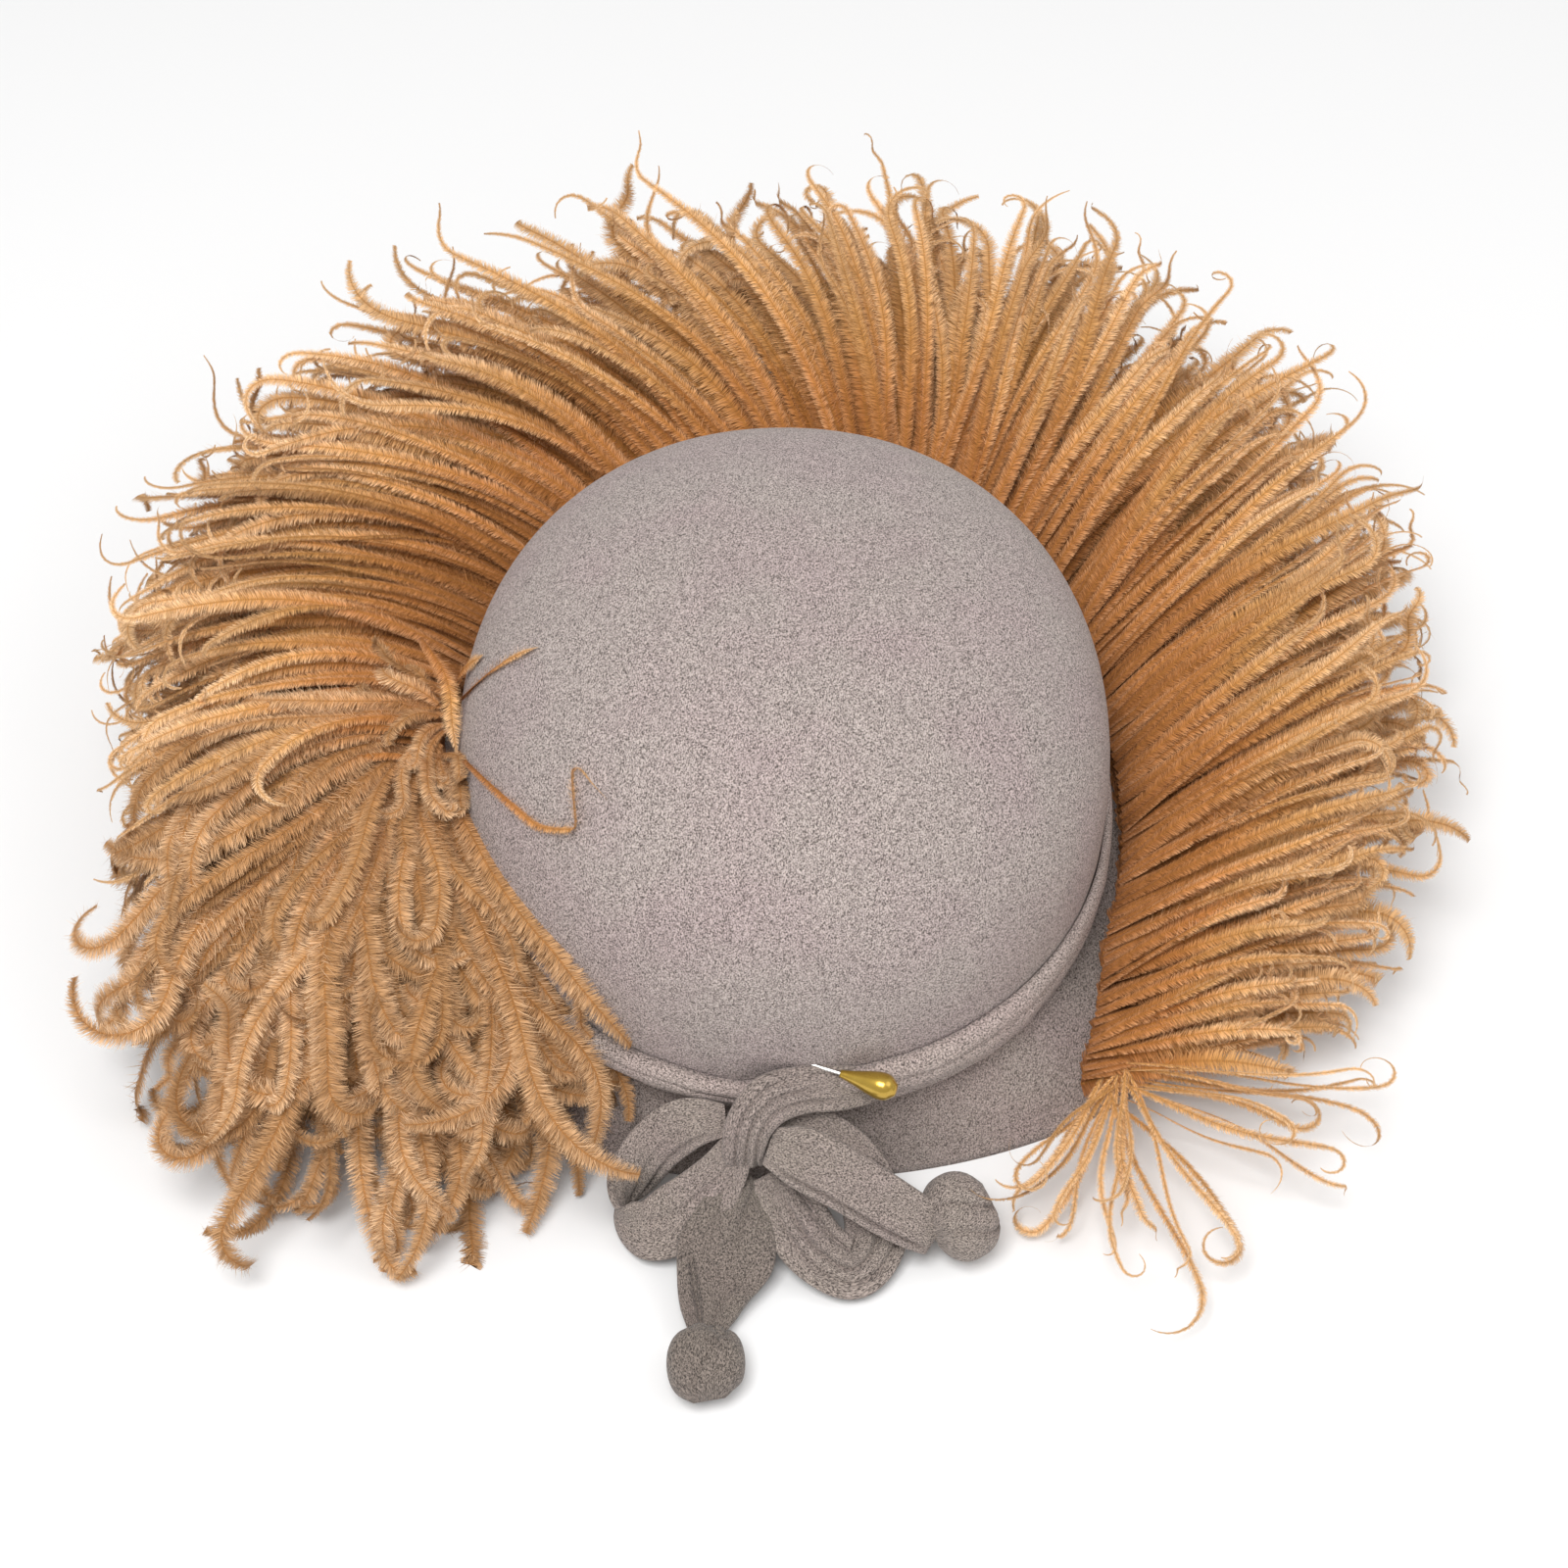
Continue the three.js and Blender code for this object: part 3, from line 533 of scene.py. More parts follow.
# Hatpin: a straight drawn steel needle through the front of the crown, with a teardrop of gold
# pearl lacquer glued on its thick end.
PIN_ENTRY = at(4.6, -99.4, 48.2)
PIN_POINT = at(-60.5, -77.4, 52.2)
TEARDROP_START = 10.5 * MM
TEARDROP_LENGTH = 15.4 * MM
TEARDROP_RINGS, TEARDROP_SIDES = 40, 36
TEARDROP_PROFILE = [
    (0.0, 0.9),
    (0.02, 1.1),
    (0.12, 1.35),
    (0.3, 2.1),
    (0.5, 3.05),
    (0.68, 3.65),
    (0.82, 3.6),
    (0.93, 2.6),
    (0.985, 1.2),
]
pin_along = (PIN_POINT - PIN_ENTRY).normalized()
steel, tree, shader = node_material("steel")
scratches = settled(tree.nodes.new("ShaderNodeTexNoise"), Scale=900)
shine = settled(tree.nodes.new("ShaderNodeMapRange"), To_Min=0.2, To_Max=0.38)
where = tree.nodes.new("ShaderNodeTexCoord")
tree.links.new(where.outputs["Object"], scratches.inputs["Vector"])
tree.links.new(scratches.outputs["Fac"], shine.inputs["Value"])
tree.links.new(shine.outputs["Result"], shader.inputs["Roughness"])
settled(shader, Base_Color=(0.62, 0.61, 0.59, 1), Metallic=1.0)
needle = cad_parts["hat_pin"]
needle.data.materials.clear()
needle.data.materials.append(steel)

gold, tree, shader = node_material("gold_pearl")
clouds = settled(tree.nodes.new("ShaderNodeTexNoise"), Scale=240, Detail=3)
lacquer = tree.nodes.new("ShaderNodeMix")
lacquer.data_type = "RGBA"
lacquer.inputs[6].default_value = (0.42, 0.25, 0.02, 1)
lacquer.inputs[7].default_value = (0.62, 0.42, 0.07, 1)
where = tree.nodes.new("ShaderNodeTexCoord")
tree.links.new(where.outputs["Object"], clouds.inputs["Vector"])
tree.links.new(clouds.outputs["Fac"], lacquer.inputs["Factor"])
tree.links.new(lacquer.outputs[2], shader.inputs["Base Color"])
settled(shader, Metallic=0.8, Roughness=0.27, Coat_Weight=0.6, Coat_Roughness=0.12)
profile = np.array(TEARDROP_PROFILE)
shares = np.linspace(0, profile[-1, 0], TEARDROP_RINGS)
radii = np.interp(shares, profile[:, 0], profile[:, 1]) * MM
radii = np.convolve(np.pad(radii, 2, mode="edge"), np.ones(5) / 5, "valid")
side = pin_along.orthogonal().normalized()
other = pin_along.cross(side)
rings = []
for share, radius in zip(shares, radii):
    centre = PIN_ENTRY - pin_along * (TEARDROP_START + share * TEARDROP_LENGTH)
    turns = np.arange(TEARDROP_SIDES) * 2 * math.pi / TEARDROP_SIDES
    rings.append([centre + (side * math.cos(t) + other * math.sin(t)) * radius for t in turns])
start = PIN_ENTRY - pin_along * TEARDROP_START
ends = [start, start - pin_along * TEARDROP_LENGTH]
pearl = loft("pearl_drop", rings, gold, tips=ends)
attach(pearl, "root")
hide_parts("pin_pearl")

# Plumes: ostrich feathers whose quills are stitched round the waist. Each barb leaves its quill
# outwards and up, falls under its own weight and ends in a ringlet, with barbules on both sides.
BARB_STEPS = 38
BARB_SHARES = 1 - (1 - np.linspace(0, 1, BARB_STEPS + 1)) ** 1.7
FRINGE_COLUMNS = ("azimuth", "height", "stand", "lean", "bend", "rise", "fall", "length")
FRINGE_RIGHT = [
    (-44, 28, 22, 46, 8, 14, -14, 72),
    (-36, 32, 15, 38, 10, 20, -14, 84),
    (-26, 36, 8, 29, 12, 26, -12, 96),
    (0, 40, 5.7, 20, 12, 30, -10, 116),
    (25, 42, 5.7, 9, 8, 34, -8, 130),
    (45, 43, 5.7, 2, 4, 36, -4, 134),
    (66, 44, 5.7, 2, 8, 38, 4, 134),
]
FRINGE_LEFT = [
    (60, 42, 5.7, 6, 24, 40, 8, 134),
    (75, 42, 5.7, 18, 44, 37, 4, 144),
    (95, 42, 5.7, 34, 52, 34, 0, 150),
    (115, 43, 5.7, 36, 48, 32, -6, 150),
    (135, 45, 5.7, 28, 44, 29, -13, 142),
    (155, 52, 3.0, 18, 34, 25, -21, 124),
    (172, 64, 3.4, 10, 30, 20, -32, 110),
    (184, 74, 5.0, 6, 26, 12, -42, 104),
]
# How wide a barb's down is along it, as a share of its widest.
DOWN_SHARES = (0, 0.1, 0.25, 0.5, 0.75, 0.9, 1)
DOWN_WIDTHS = (0.4, 0.6, 0.85, 1, 1, 0.45, 0.12)
OFF_FLOOR = 2 * MM
DOWN_OVER_FLOOR = 0.1 * MM
bend_curve = np.linspace(0, 1, 40)
BRIM_OUT = 2 * BEND_REACH * bend_curve * (1 - bend_curve) + bend_curve**2
BRIM_UP = BRIM_TOP * (1 - bend_curve) ** 2 + 2 * BEND_HEIGHT * bend_curve * (1 - bend_curve)


def lie_clear(point, clearance):
    """A barb's point moved out of the crown, the brim and the floor."""
    x, y, z = point[0] - HAT_X, point[1] - HAT_Y, point[2]
    scale = float(crown_scale(max(z, WAIST)))
    half_width, half_depth = CROWN_HALF.x * scale + clearance, CROWN_HALF.y * scale + clearance
    share = (abs(x / half_width) ** PLAN_POWER + abs(y / half_depth) ** PLAN_POWER) ** (1 / PLAN_POWER)
    if z < crown_high.z and share < 1:
        x, y = x / max(share, 0.2), y / max(share, 0.2)
    turn = math.atan2(y / CROWN_HALF.y, x / CROWN_HALF.x)
    waist = math.hypot(CROWN_HALF.x * math.cos(turn), CROWN_HALF.y * math.sin(turn)) * (1 - DRAWN_IN)
    rim = math.hypot(RIM_HALF.x * math.cos(turn), RIM_HALF.y * math.sin(turn))
    out = (math.hypot(x, y - (RIM_MIDDLE.y - HAT_Y)) - waist) / (rim - waist)
    floor = clearance + OFF_FLOOR if out > 1 else float(np.interp(out, BRIM_OUT, BRIM_UP)) + clearance
    return np.array((HAT_X + x, HAT_Y + y, max(z, floor)))


def barb(root, way, random, curl=1.0, wave=9.0, hook=(0.76, 0.9)):
    """The centreline of one barb: its heading and slope change evenly along it, with a slow wave
    and a ringlet over its last part."""
    shares = (BARB_SHARES[1:] + BARB_SHARES[:-1]) / 2
    begins = random.uniform(*hook)
    ringlet = np.clip((shares - begins) / (1 - begins), 0, 1) ** 1.3
    turn = random.choice((-1, 1)) * random.choice((120, 180, 260, 360)) * random.uniform(0.8, 1.1) * curl
    tilt = random.uniform(-0.6, 0.6)
    sway = wave * shares * np.sin(2 * math.pi * (random.uniform(0.7, 1.5) * shares + random.uniform(0, 1)))
    heading = np.radians(way["heading"] + way["bend"] * shares + sway + turn * ringlet * math.cos(tilt))
    slope = np.radians(way["rise"] + (way["fall"] - way["rise"]) * shares + turn * ringlet * math.sin(tilt))
    level = np.cos(slope)
    strides = np.stack([level * np.cos(heading), level * np.sin(heading), np.sin(slope)], -1)
    strides *= (np.diff(BARB_SHARES) * way["length"] * MM)[:, None]
    points = [np.array(root, float)]
    for share, stride in zip(shares, strides):
        points.append(lie_clear(points[-1] + stride, (1.2 + 1.8 * share) * MM))
    return np.array(points)


def vary(way, random, heading=5.0, slope=6.0, shortest=0.8, longest=1.02):
    """A barb's way with the spread that real barbs have about it."""
    way = dict(way)
    way["heading"] += random.normal(0, heading)
    lift = random.normal(0, slope)
    way["rise"] += lift
    way["fall"] += lift * 0.5 + random.normal(0, slope * 0.6)
    way["bend"] += random.normal(0, 8)
    way["length"] *= random.uniform(shortest, longest)
    return way


def barb_mesh(name, barbs, down_widths, dyed_from):
    """Each barb's down as a roofed strip, and the numbers that the barbules and the colour follow."""
    rows = len(BARB_SHARES)
    points = np.array([barb[0] for barb in barbs])
    tones = np.array([barb[1] for barb in barbs])[:, None]
    down = np.interp(BARB_SHARES, DOWN_SHARES, down_widths) * np.array([barb[2] for barb in barbs])[:, None]
    roof = np.interp(BARB_SHARES, (0, 0.3, 0.6, 1), (0.6, 0.35, 0.15, 0.15))
    along = np.gradient(points, axis=1)
    along /= np.linalg.norm(along, axis=2)[..., None]
    side = np.cross(along, (0, 0, 1.0))
    side[:, 0] /= np.linalg.norm(side[:, 0], axis=1)[:, None]
    for row in range(1, rows):
        kept = side[:, row - 1]
        side[:, row] = kept - along[:, row] * (kept * along[:, row]).sum(1)[:, None]
        side[:, row] /= np.linalg.norm(side[:, row], axis=1)[:, None]
    up = np.cross(side, along)
    roll = np.radians(tones * 40 - 20 + 20 * np.sin(BARB_SHARES * 5 + tones * 20))[..., None]
    side, up = side * np.cos(roll) + up * np.sin(roll), up * np.cos(roll) - side * np.sin(roll)
    edge, sag = side * down[..., None], up * (down * roof)[..., None]
    verts = np.stack([points - edge - sag, points, points + edge - sag], 1).reshape(-1, 3)
    steps = np.linalg.norm(np.diff(points, axis=1), axis=2)
    run = np.concatenate([np.zeros((len(barbs), 1)), np.cumsum(steps, axis=1)], 1)
    count = len(barbs)
    starts = (np.arange(count)[:, None, None] * 3 + np.array([(0, 1), (1, 2)])) * rows
    steps = np.arange(rows - 1)
    a, b = starts[..., 0, None] + steps, starts[..., 1, None] + steps
    faces = np.stack([a, a + 1, b + 1, b], -1).reshape(-1, 4)
    mesh = bpy.data.meshes.new(name)
    mesh.from_pydata(verts.tolist(), [], faces.tolist())
    numbers = {
        "along": np.tile(dyed_from + (1 - dyed_from) * BARB_SHARES, count * 3),
        "reach": np.zeros(count * 3 * rows),
        "tone": np.repeat(tones, 3 * rows),
        "down": np.tile(down, 3).ravel(),
        "run": np.tile(run, 3).ravel(),
        "across": np.tile(np.repeat((-1.0, 0.0, 1.0), rows), count),
    }
    for key, values in numbers.items():
        mesh.attributes.new(key, "FLOAT", "POINT").data.foreach_set("value", values.astype(np.float32))
    directions = np.repeat(side[:, None], 3, axis=1).astype(np.float32).ravel()
    mesh.attributes.new("side", "FLOAT_VECTOR", "POINT").data.foreach_set("vector", directions)
    ends = np.zeros(len(mesh.edges) * 2, int)
    mesh.edges.foreach_get("vertices", ends)
    ridge = (ends.reshape(-1, 2) // rows % 3 == 1).all(1)
    mesh.attributes.new("ridge", "BOOLEAN", "EDGE").data.foreach_set("value", ridge)
    mesh.shade_smooth()
    piece = bpy.data.objects.new(name, mesh)
    bpy.context.collection.objects.link(piece)
    return piece


def barbule_pair():
    """Two barbules of unit length that leave the barb forwards, one on each side."""
    verts, faces = [], []
    for way in (-1, 1):
        start = len(verts)
        verts += [(0.06 * way, -0.03, 0.02), (0.06 * way, 0.03, 0.02), (1.0 * way, 0.62, 0.1)]
        faces += [(start, start + 2, start + 1)]
    mesh = bpy.data.meshes.new("barbule_pair")
    mesh.from_pydata(verts, [], faces)
    mesh.attributes.new("reach", "FLOAT", "POINT").data.foreach_set("value", (0.3, 0.3, 1.0) * 2)
    mesh.attributes.new("across", "FLOAT", "POINT").data.foreach_set("value", (0.5, 0.5, 0.5) * 2)
    mesh.shade_smooth()
    pair = bpy.data.objects.new("barbule_pair", mesh)
    bpy.context.collection.objects.link(pair)
    return pair


def barbule_tree():
    """Sets barbule pairs along every ridge, as large as the down there and rolled a little."""
    tree = bpy.data.node_groups.new("barbules", "GeometryNodeTree")
    tree.is_modifier = True
    put = tree.interface.new_socket
    kinds = {"Geometry": "Geometry", "Barbules": "Object", "Spacing": "Float", "Roll": "Float"}
    kinds |= {"Seed": "Int", "Material": "Material"}
    for label, kind in kinds.items():
        put(label, in_out="INPUT", socket_type="NodeSocket" + kind)
    put("Geometry", in_out="OUTPUT", socket_type="NodeSocketGeometry")
    nodes, join = tree.nodes, tree.links.new
    given, result = nodes.new("NodeGroupInput"), nodes.new("NodeGroupOutput")

    def named(name, kind):
        node = nodes.new("GeometryNodeInputNamedAttribute")
        node.data_type = kind
        node.inputs["Name"].default_value = name
        return node.outputs["Attribute"]

    def random_between(low, high, seed_shift):
        node = nodes.new("FunctionNodeRandomValue")
        node.data_type = "FLOAT"
        node.inputs[2].default_value = low
        node.inputs[3].default_value = high
        shifted = nodes.new("FunctionNodeIntegerMath")
        shifted.inputs[1].default_value = seed_shift
        join(given.outputs["Seed"], shifted.inputs[0])
        join(shifted.outputs[0], node.inputs["Seed"])
        return node.outputs[1]

    def product(first, second):
        node = nodes.new("ShaderNodeMath")
        node.operation = "MULTIPLY"
        join(first, node.inputs[0])
        join(second, node.inputs[1])
        return node.outputs[0]

    ridges = nodes.new("GeometryNodeMeshToCurve")
    join(given.outputs["Geometry"], ridges.inputs["Mesh"])
    join(named("ridge", "BOOLEAN"), ridges.inputs["Selection"])
    points = nodes.new("GeometryNodeCurveToPoints")
    points.mode = "LENGTH"
    join(ridges.outputs["Curve"], points.inputs["Curve"])
    join(given.outputs["Spacing"], points.inputs["Length"])
    aim_along = nodes.new("FunctionNodeAxesToRotation")
    aim_along.primary_axis = "Y"
    aim_along.secondary_axis = "X"
    join(points.outputs["Tangent"], aim_along.inputs[0])
    join(named("side", "FLOAT_VECTOR"), aim_along.inputs[1])
    roll = nodes.new("ShaderNodeCombineXYZ")
    join(product(random_between(-1, 1, 1), given.outputs["Roll"]), roll.inputs["Y"])
    join(random_between(-0.35, 0.35, 2), roll.inputs["Z"])
    turned = nodes.new("FunctionNodeRotateRotation")
    turned.rotation_space = "LOCAL"
    join(aim_along.outputs[0], turned.inputs[0])
    join(roll.outputs[0], turned.inputs[1])
    placed = nodes.new("GeometryNodeInstanceOnPoints")
    source = nodes.new("GeometryNodeObjectInfo")
    join(given.outputs["Barbules"], source.inputs["Object"])
    join(points.outputs["Points"], placed.inputs["Points"])
    join(source.outputs["Geometry"], placed.inputs["Instance"])
    join(turned.outputs[0], placed.inputs["Rotation"])
    join(product(named("down", "FLOAT"), random_between(0.75, 1.25, 3)), placed.inputs["Scale"])
    both = nodes.new("GeometryNodeJoinGeometry")
    join(placed.outputs["Instances"], both.inputs[0])
    join(given.outputs["Geometry"], both.inputs[0])
    real = nodes.new("GeometryNodeRealizeInstances")
    join(both.outputs[0], real.inputs[0])
    finish = nodes.new("GeometryNodeSetMaterial")
    join(real.outputs[0], finish.inputs["Geometry"])
    join(given.outputs["Material"], finish.inputs["Material"])
    join(finish.outputs[0], result.inputs[0])
    return tree


def feather_material(name, ramp_colours, frayed, shaft):
    """Dyed feather: dark at the root and paler to the tip, hatched by its barbules, with pale
    barbule ends, a dark shaft and each barb a little different from the next."""
    material, tree, shader = node_material(name)
    nodes, join = tree.nodes, tree.links.new

    def read(attribute):
        node = nodes.new("ShaderNodeAttribute")
        node.attribute_name = attribute
        return node.outputs["Fac"]

    def sum_up(operation, first, second, third=0.0):
        node = nodes.new("ShaderNodeMath")
        node.operation = operation
        for socket, value in zip(node.inputs, (first, second, third)):
            if isinstance(value, float):
                socket.default_value = value
            else:
                join(value, socket)
        return node.outputs[0]

    def spread(value, low, high, to_low, to_high):
        node = nodes.new("ShaderNodeMapRange")
        join(value, node.inputs["Value"])
        for socket, limit in zip(("From Min", "From Max", "To Min", "To Max"), (low, high, to_low, to_high)):
            node.inputs[socket].default_value = limit
        return node.outputs["Result"]

    def blend(share, first, second):
        node = nodes.new("ShaderNodeMix")
        node.data_type = "RGBA"
        join(share, node.inputs["Factor"])
        join(first, node.inputs[6])
        node.inputs[7].default_value = (*second, 1)
        return node.outputs[2]

    ramp = nodes.new("ShaderNodeValToRGB")
    stops = ramp.color_ramp.elements
    stops[0].color, stops[1].color = (*ramp_colours[0][1], 1), (*ramp_colours[-1][1], 1)
    for share, dye in ramp_colours[1:-1]:
        stops.new(share).color = (*dye, 1)
    along, across, tone = read("along"), read("across"), read("tone")
    join(along, ramp.inputs["Fac"])
    place = nodes.new("ShaderNodeCombineXYZ")
    swept = sum_up("MULTIPLY", sum_up("ABSOLUTE", across, 0.0), -5.0)
    join(sum_up("MULTIPLY_ADD", read("run"), HATCH_PER_METRE, swept), place.inputs["X"])
    join(sum_up("MULTIPLY", across, 1.2), place.inputs["Y"])
    join(sum_up("MULTIPLY", tone, 60.0), place.inputs["Z"])
    hairs = settled(nodes.new("ShaderNodeTexNoise"), Scale=1.0, Detail=2.0)
    join(place.outputs[0], hairs.inputs["Vector"])
    hatch = spread(hairs.outputs["Fac"], 0.38, 0.62, 0.0, 1.0)
    beside = sum_up("ABSOLUTE", across, 0.0)
    opened = sum_up("ADD", spread(beside, 0.1, 1.0, 0.26, 0.66), spread(along, 0.0, 0.35, -0.2, 0.0))
    hair = spread(sum_up("SUBTRACT", hairs.outputs["Fac"], opened), -0.12, 0.1, 0.0, 1.0)
    whole = spread(read("reach"), 0.0, 0.2, 0.0, 1.0)
    join(sum_up("MAXIMUM", hair, whole), shader.inputs["Alpha"])
    ends = sum_up("MAXIMUM", spread(read("reach"), 0.0, 1.0, 0.0, 0.8), sum_up("MULTIPLY", beside, 0.5))
    kept = spread(along, 0.15, 0.85, 0.3, 1.0)
    pale = sum_up("MULTIPLY", kept, sum_up("MULTIPLY", ends, spread(hatch, 0.0, 1.0, 0.4, 1.3)))
    pale = sum_up("MULTIPLY", pale, spread(tone, 0.0, 0.9, 0.4, 1.1))
    on_shaft = spread(beside, 0.04, 0.12, 0.65, 0.0)
    shafted = blend(on_shaft, blend(pale, ramp.outputs["Color"], frayed), shaft)
    tinted = nodes.new("ShaderNodeHueSaturation")
    # The hatch draws the barbules' hairs; the value it gives, darker between the hairs and lighter on them,
    # is painted shade and light.
    value = sum_up("MULTIPLY", spread(tone, 0.0, 1.0, 0.85, 1.15), spread(hatch, 0.0, 1.0, 0.68, 1.18))
    join(value, tinted.inputs["Value"])
    join(shafted, tinted.inputs["Color"])
    join(tinted.outputs["Color"], shader.inputs["Base Color"])
    relief = settled(nodes.new("ShaderNodeBump"), Strength=0.4, Distance=0.3 * MM)
    join(hatch, relief.inputs["Height"])
    join(relief.outputs["Normal"], shader.inputs["Normal"])
    settled(shader, Roughness=0.7, Specular_IOR_Level=0.12)
    return material


HATCH_PER_METRE = 4200.0
pair = barbule_pair()
barbules = barbule_tree()
feather = feather_material(
    "feather",
    [
        (0.0, (0.26, 0.09, 0.025)),
        (0.08, (0.38, 0.14, 0.036)),
        (0.35, (0.49, 0.185, 0.042)),
        (0.6, (0.6, 0.29, 0.085)),
        (1.0, (0.66, 0.4, 0.2)),
    ],
    frayed=(0.86, 0.66, 0.46),
    shaft=(0.42, 0.18, 0.045),
)


def feathered(
    name, barbs, spacing, roll, seed, stands_for=(), down_widths=DOWN_WIDTHS, dyed_from=0.0, colouring=feather
):
    """One piece of plume: the barbs' strips and all their barbules as one plain mesh."""
    strips = barb_mesh(name + "_strips", barbs, down_widths, dyed_from)
    fill = strips.modifiers.new("barbules", "NODES")
    fill.node_group = barbules
    ids = {item.name: item.identifier for item in barbules.interface.items_tree if item.in_out == "INPUT"}
    fill[ids["Barbules"]] = pair
    fill[ids["Spacing"]] = spacing
    fill[ids["Roll"]] = roll
    fill[ids["Seed"]] = seed
    fill[ids["Material"]] = colouring
    bpy.context.view_layer.update()
    result = bpy.data.meshes.new_from_object(strips.evaluated_get(bpy.context.evaluated_depsgraph_get()))
    result.name = name
    places = np.zeros(len(result.vertices) * 3)
    result.vertices.foreach_get("co", places)
    places[2::3] = np.maximum(places[2::3], DOWN_OVER_FLOOR)
    result.vertices.foreach_set("co", places)
    bpy.data.objects.remove(strips)
    piece = bpy.data.objects.new(name, result)
    bpy.context.collection.objects.link(piece)
    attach(piece, "root")
    if stands_for:
        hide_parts(*stands_for)


def heading_outward(angle):
    """The heading square to the crown's outline, in degrees."""
    out = beside_crown(angle, WIDEST, 0.001) - beside_crown(angle, WIDEST, 0)
    return math.degrees(math.atan2(out[1] * CROWN_HALF.x, out[0] * CROWN_HALF.y))


def fringe(rows, step, layers, random, widest=(2.1, 3.3), lift=7.0, shortest=0.78):
    """Barbs in layers round one stretch of the crown; the upper layers rise more and are shorter."""
    barbs = []
    for layer in range(layers):
        level = layer - (layers - 1) / 2
        for angle in np.arange(rows[0][0], rows[-1][0], step):
            where = angle + (layer / layers + random.uniform(-0.3, 0.3)) * step
            way = look_up(rows, FRINGE_COLUMNS, where)
            way["heading"] = heading_outward(where) + way["lean"]
            way["rise"] += lift * level
            way["fall"] += lift * level
            stand = way["stand"] + max(0.0, -level) * 1.2
            root = beside_crown(where, (way["height"] + 1.2 * level) * MM, stand * MM)
            points = barb(root, vary(way, random, shortest=shortest - 0.04 * max(level, 0)), random)
            barbs.append((points, random.uniform(0, 1), random.uniform(*widest) * MM))
    return barbs


# The main barbs, and a second, sparser set that fills in between them.
FRINGE_SPACING = 0.6 * MM
SOFT_ROLL, CURLED_ROLL = 0.6, 0.8
random, filling = np.random.default_rng(11), np.random.default_rng(12)
right = fringe(FRINGE_RIGHT, 1.75, 4, random), fringe(FRINGE_RIGHT, 6.0, 4, filling)
left = fringe(FRINGE_LEFT, 1.85, 5, random, lift=5.5), fringe(FRINGE_LEFT, 6.5, 5, filling, lift=5.5)
for plume, sets, seed in (("plume_right", right, 1), ("plume_left", left, 3)):
    lower = [one for part in sets for one in part[: len(part) // 2]]
    upper = [one for part in sets for one in part[len(part) // 2 :]]
    feathered(plume + "_lower", lower, FRINGE_SPACING, SOFT_ROLL, seed, [plume])
    feathered(plume + "_upper", upper, FRINGE_SPACING, SOFT_ROLL, seed + 1)

# Underdown: shorter, fuller barbs below the others, which close the plumes from behind. Their tone
# is scaled down, which paints the shade they lie in: darker and more orange.
FULL_WIDTHS = (0.8, 1, 1, 1, 0.9, 0.6, 0.2)
SUNK_MM = 5
UNDER_BARB_PAINTED_SHADE = 0.4
under = []
for rows, step, sunk in (
    (FRINGE_RIGHT, 3.0, SUNK_MM),
    (FRINGE_LEFT, 3.0, SUNK_MM),
    (FRINGE_LEFT[:6], 2.0, 0),
):
    for points, tone, width in fringe(rows, step, 3, random, widest=(4.2, 5.6), lift=5, shortest=0.72):
        under.append((points - (0, 0, sunk * MM), tone * UNDER_BARB_PAINTED_SHADE, width))
feathered("plume_under", under, 2.0 * MM, SOFT_ROLL, 7, down_widths=FULL_WIDTHS)

# Droop: the left plume's end, where its barbs spring from one short stretch high on the crown's
# side, fall over the brim and curl into each other.
CLUSTER_COLUMNS = ("heading", "rise", "fall", "bend", "length")
DROOP = [
    (186, 14, -40, 14, 98),
    (195, 12, -42, 18, 106),
    (212, 8, -46, 12, 136),
    (228, 2, -50, 8, 154),
    (245, -4, -50, 6, 160),
    (260, -8, -48, 6, 174),
    (274, -10, -46, 10, 171),
    (284, -10, -42, 12, 146),
    (297, -8, -40, 12, 112),
]
DROOP_FROM, DROOP_TO = (-98, -3, 78), (-97, -19, 67)
CLUSTER_HOOK = (0.6, 0.87)
SHORT_RISE = 26
HOOKED_WIDTHS = (0.4, 0.55, 0.85, 1, 1, 0.85, 0.45)
DROOP_LENGTHS = (0.4, 0.55, 0.7, 0.8, 0.9, 1.0)
BELOW_LENGTHS = (0.7, 0.8, 0.9, 0.97)
DROOP_SPACING = 0.5 * MM


def cluster(rows, low, high, count, random, shares, widest, wave, curl):
    """Barbs fanned from one short stretch of quill. The shorter ones rise more, so that ringlets lie
    in the mass."""
    barbs = []
    for index in range(count):
        share = (index + random.uniform(0.1, 0.9)) / count
        heading = rows[0][0] + (rows[-1][0] - rows[0][0]) * share
        way = look_up(rows, CLUSTER_COLUMNS, heading)
        root = np.array(at(*(np.array(low) * (1 - share) + np.array(high) * share)))
        root += random.normal(0, 1.2, 3) * MM
        part = random.choice(shares)
        way["length"] *= part
        way["rise"] += (1 - part) * SHORT_RISE
        way = vary(way, random, heading=8, slope=8, longest=1.0)
        points = barb(root, way, random, curl, wave, CLUSTER_HOOK)
        barbs.append((points, random.uniform(0, 1), random.uniform(*widest) * MM))
    return barbs


# The droop's colours are a darker copy of the feather's, darkest toward the low tips: painted shade.
droop_feather_painted_shade = feather_material(
    "feather_droop_painted_shade",
    [
        (0.0, (0.26, 0.09, 0.025)),
        (0.5, (0.54, 0.235, 0.08)),
        (0.75, (0.48, 0.235, 0.085)),
        (1.0, (0.43, 0.225, 0.095)),
    ],
    frayed=(0.74, 0.54, 0.36),
    shaft=(0.36, 0.15, 0.04),
)
stretch = DROOP, DROOP_FROM, DROOP_TO
droop = cluster(*stretch, 310, random, DROOP_LENGTHS, widest=(3.2, 4.9), wave=32, curl=1.0)
below = cluster(*stretch, 70, random, BELOW_LENGTHS, widest=(3.4, 4.8), wave=30, curl=0.7)
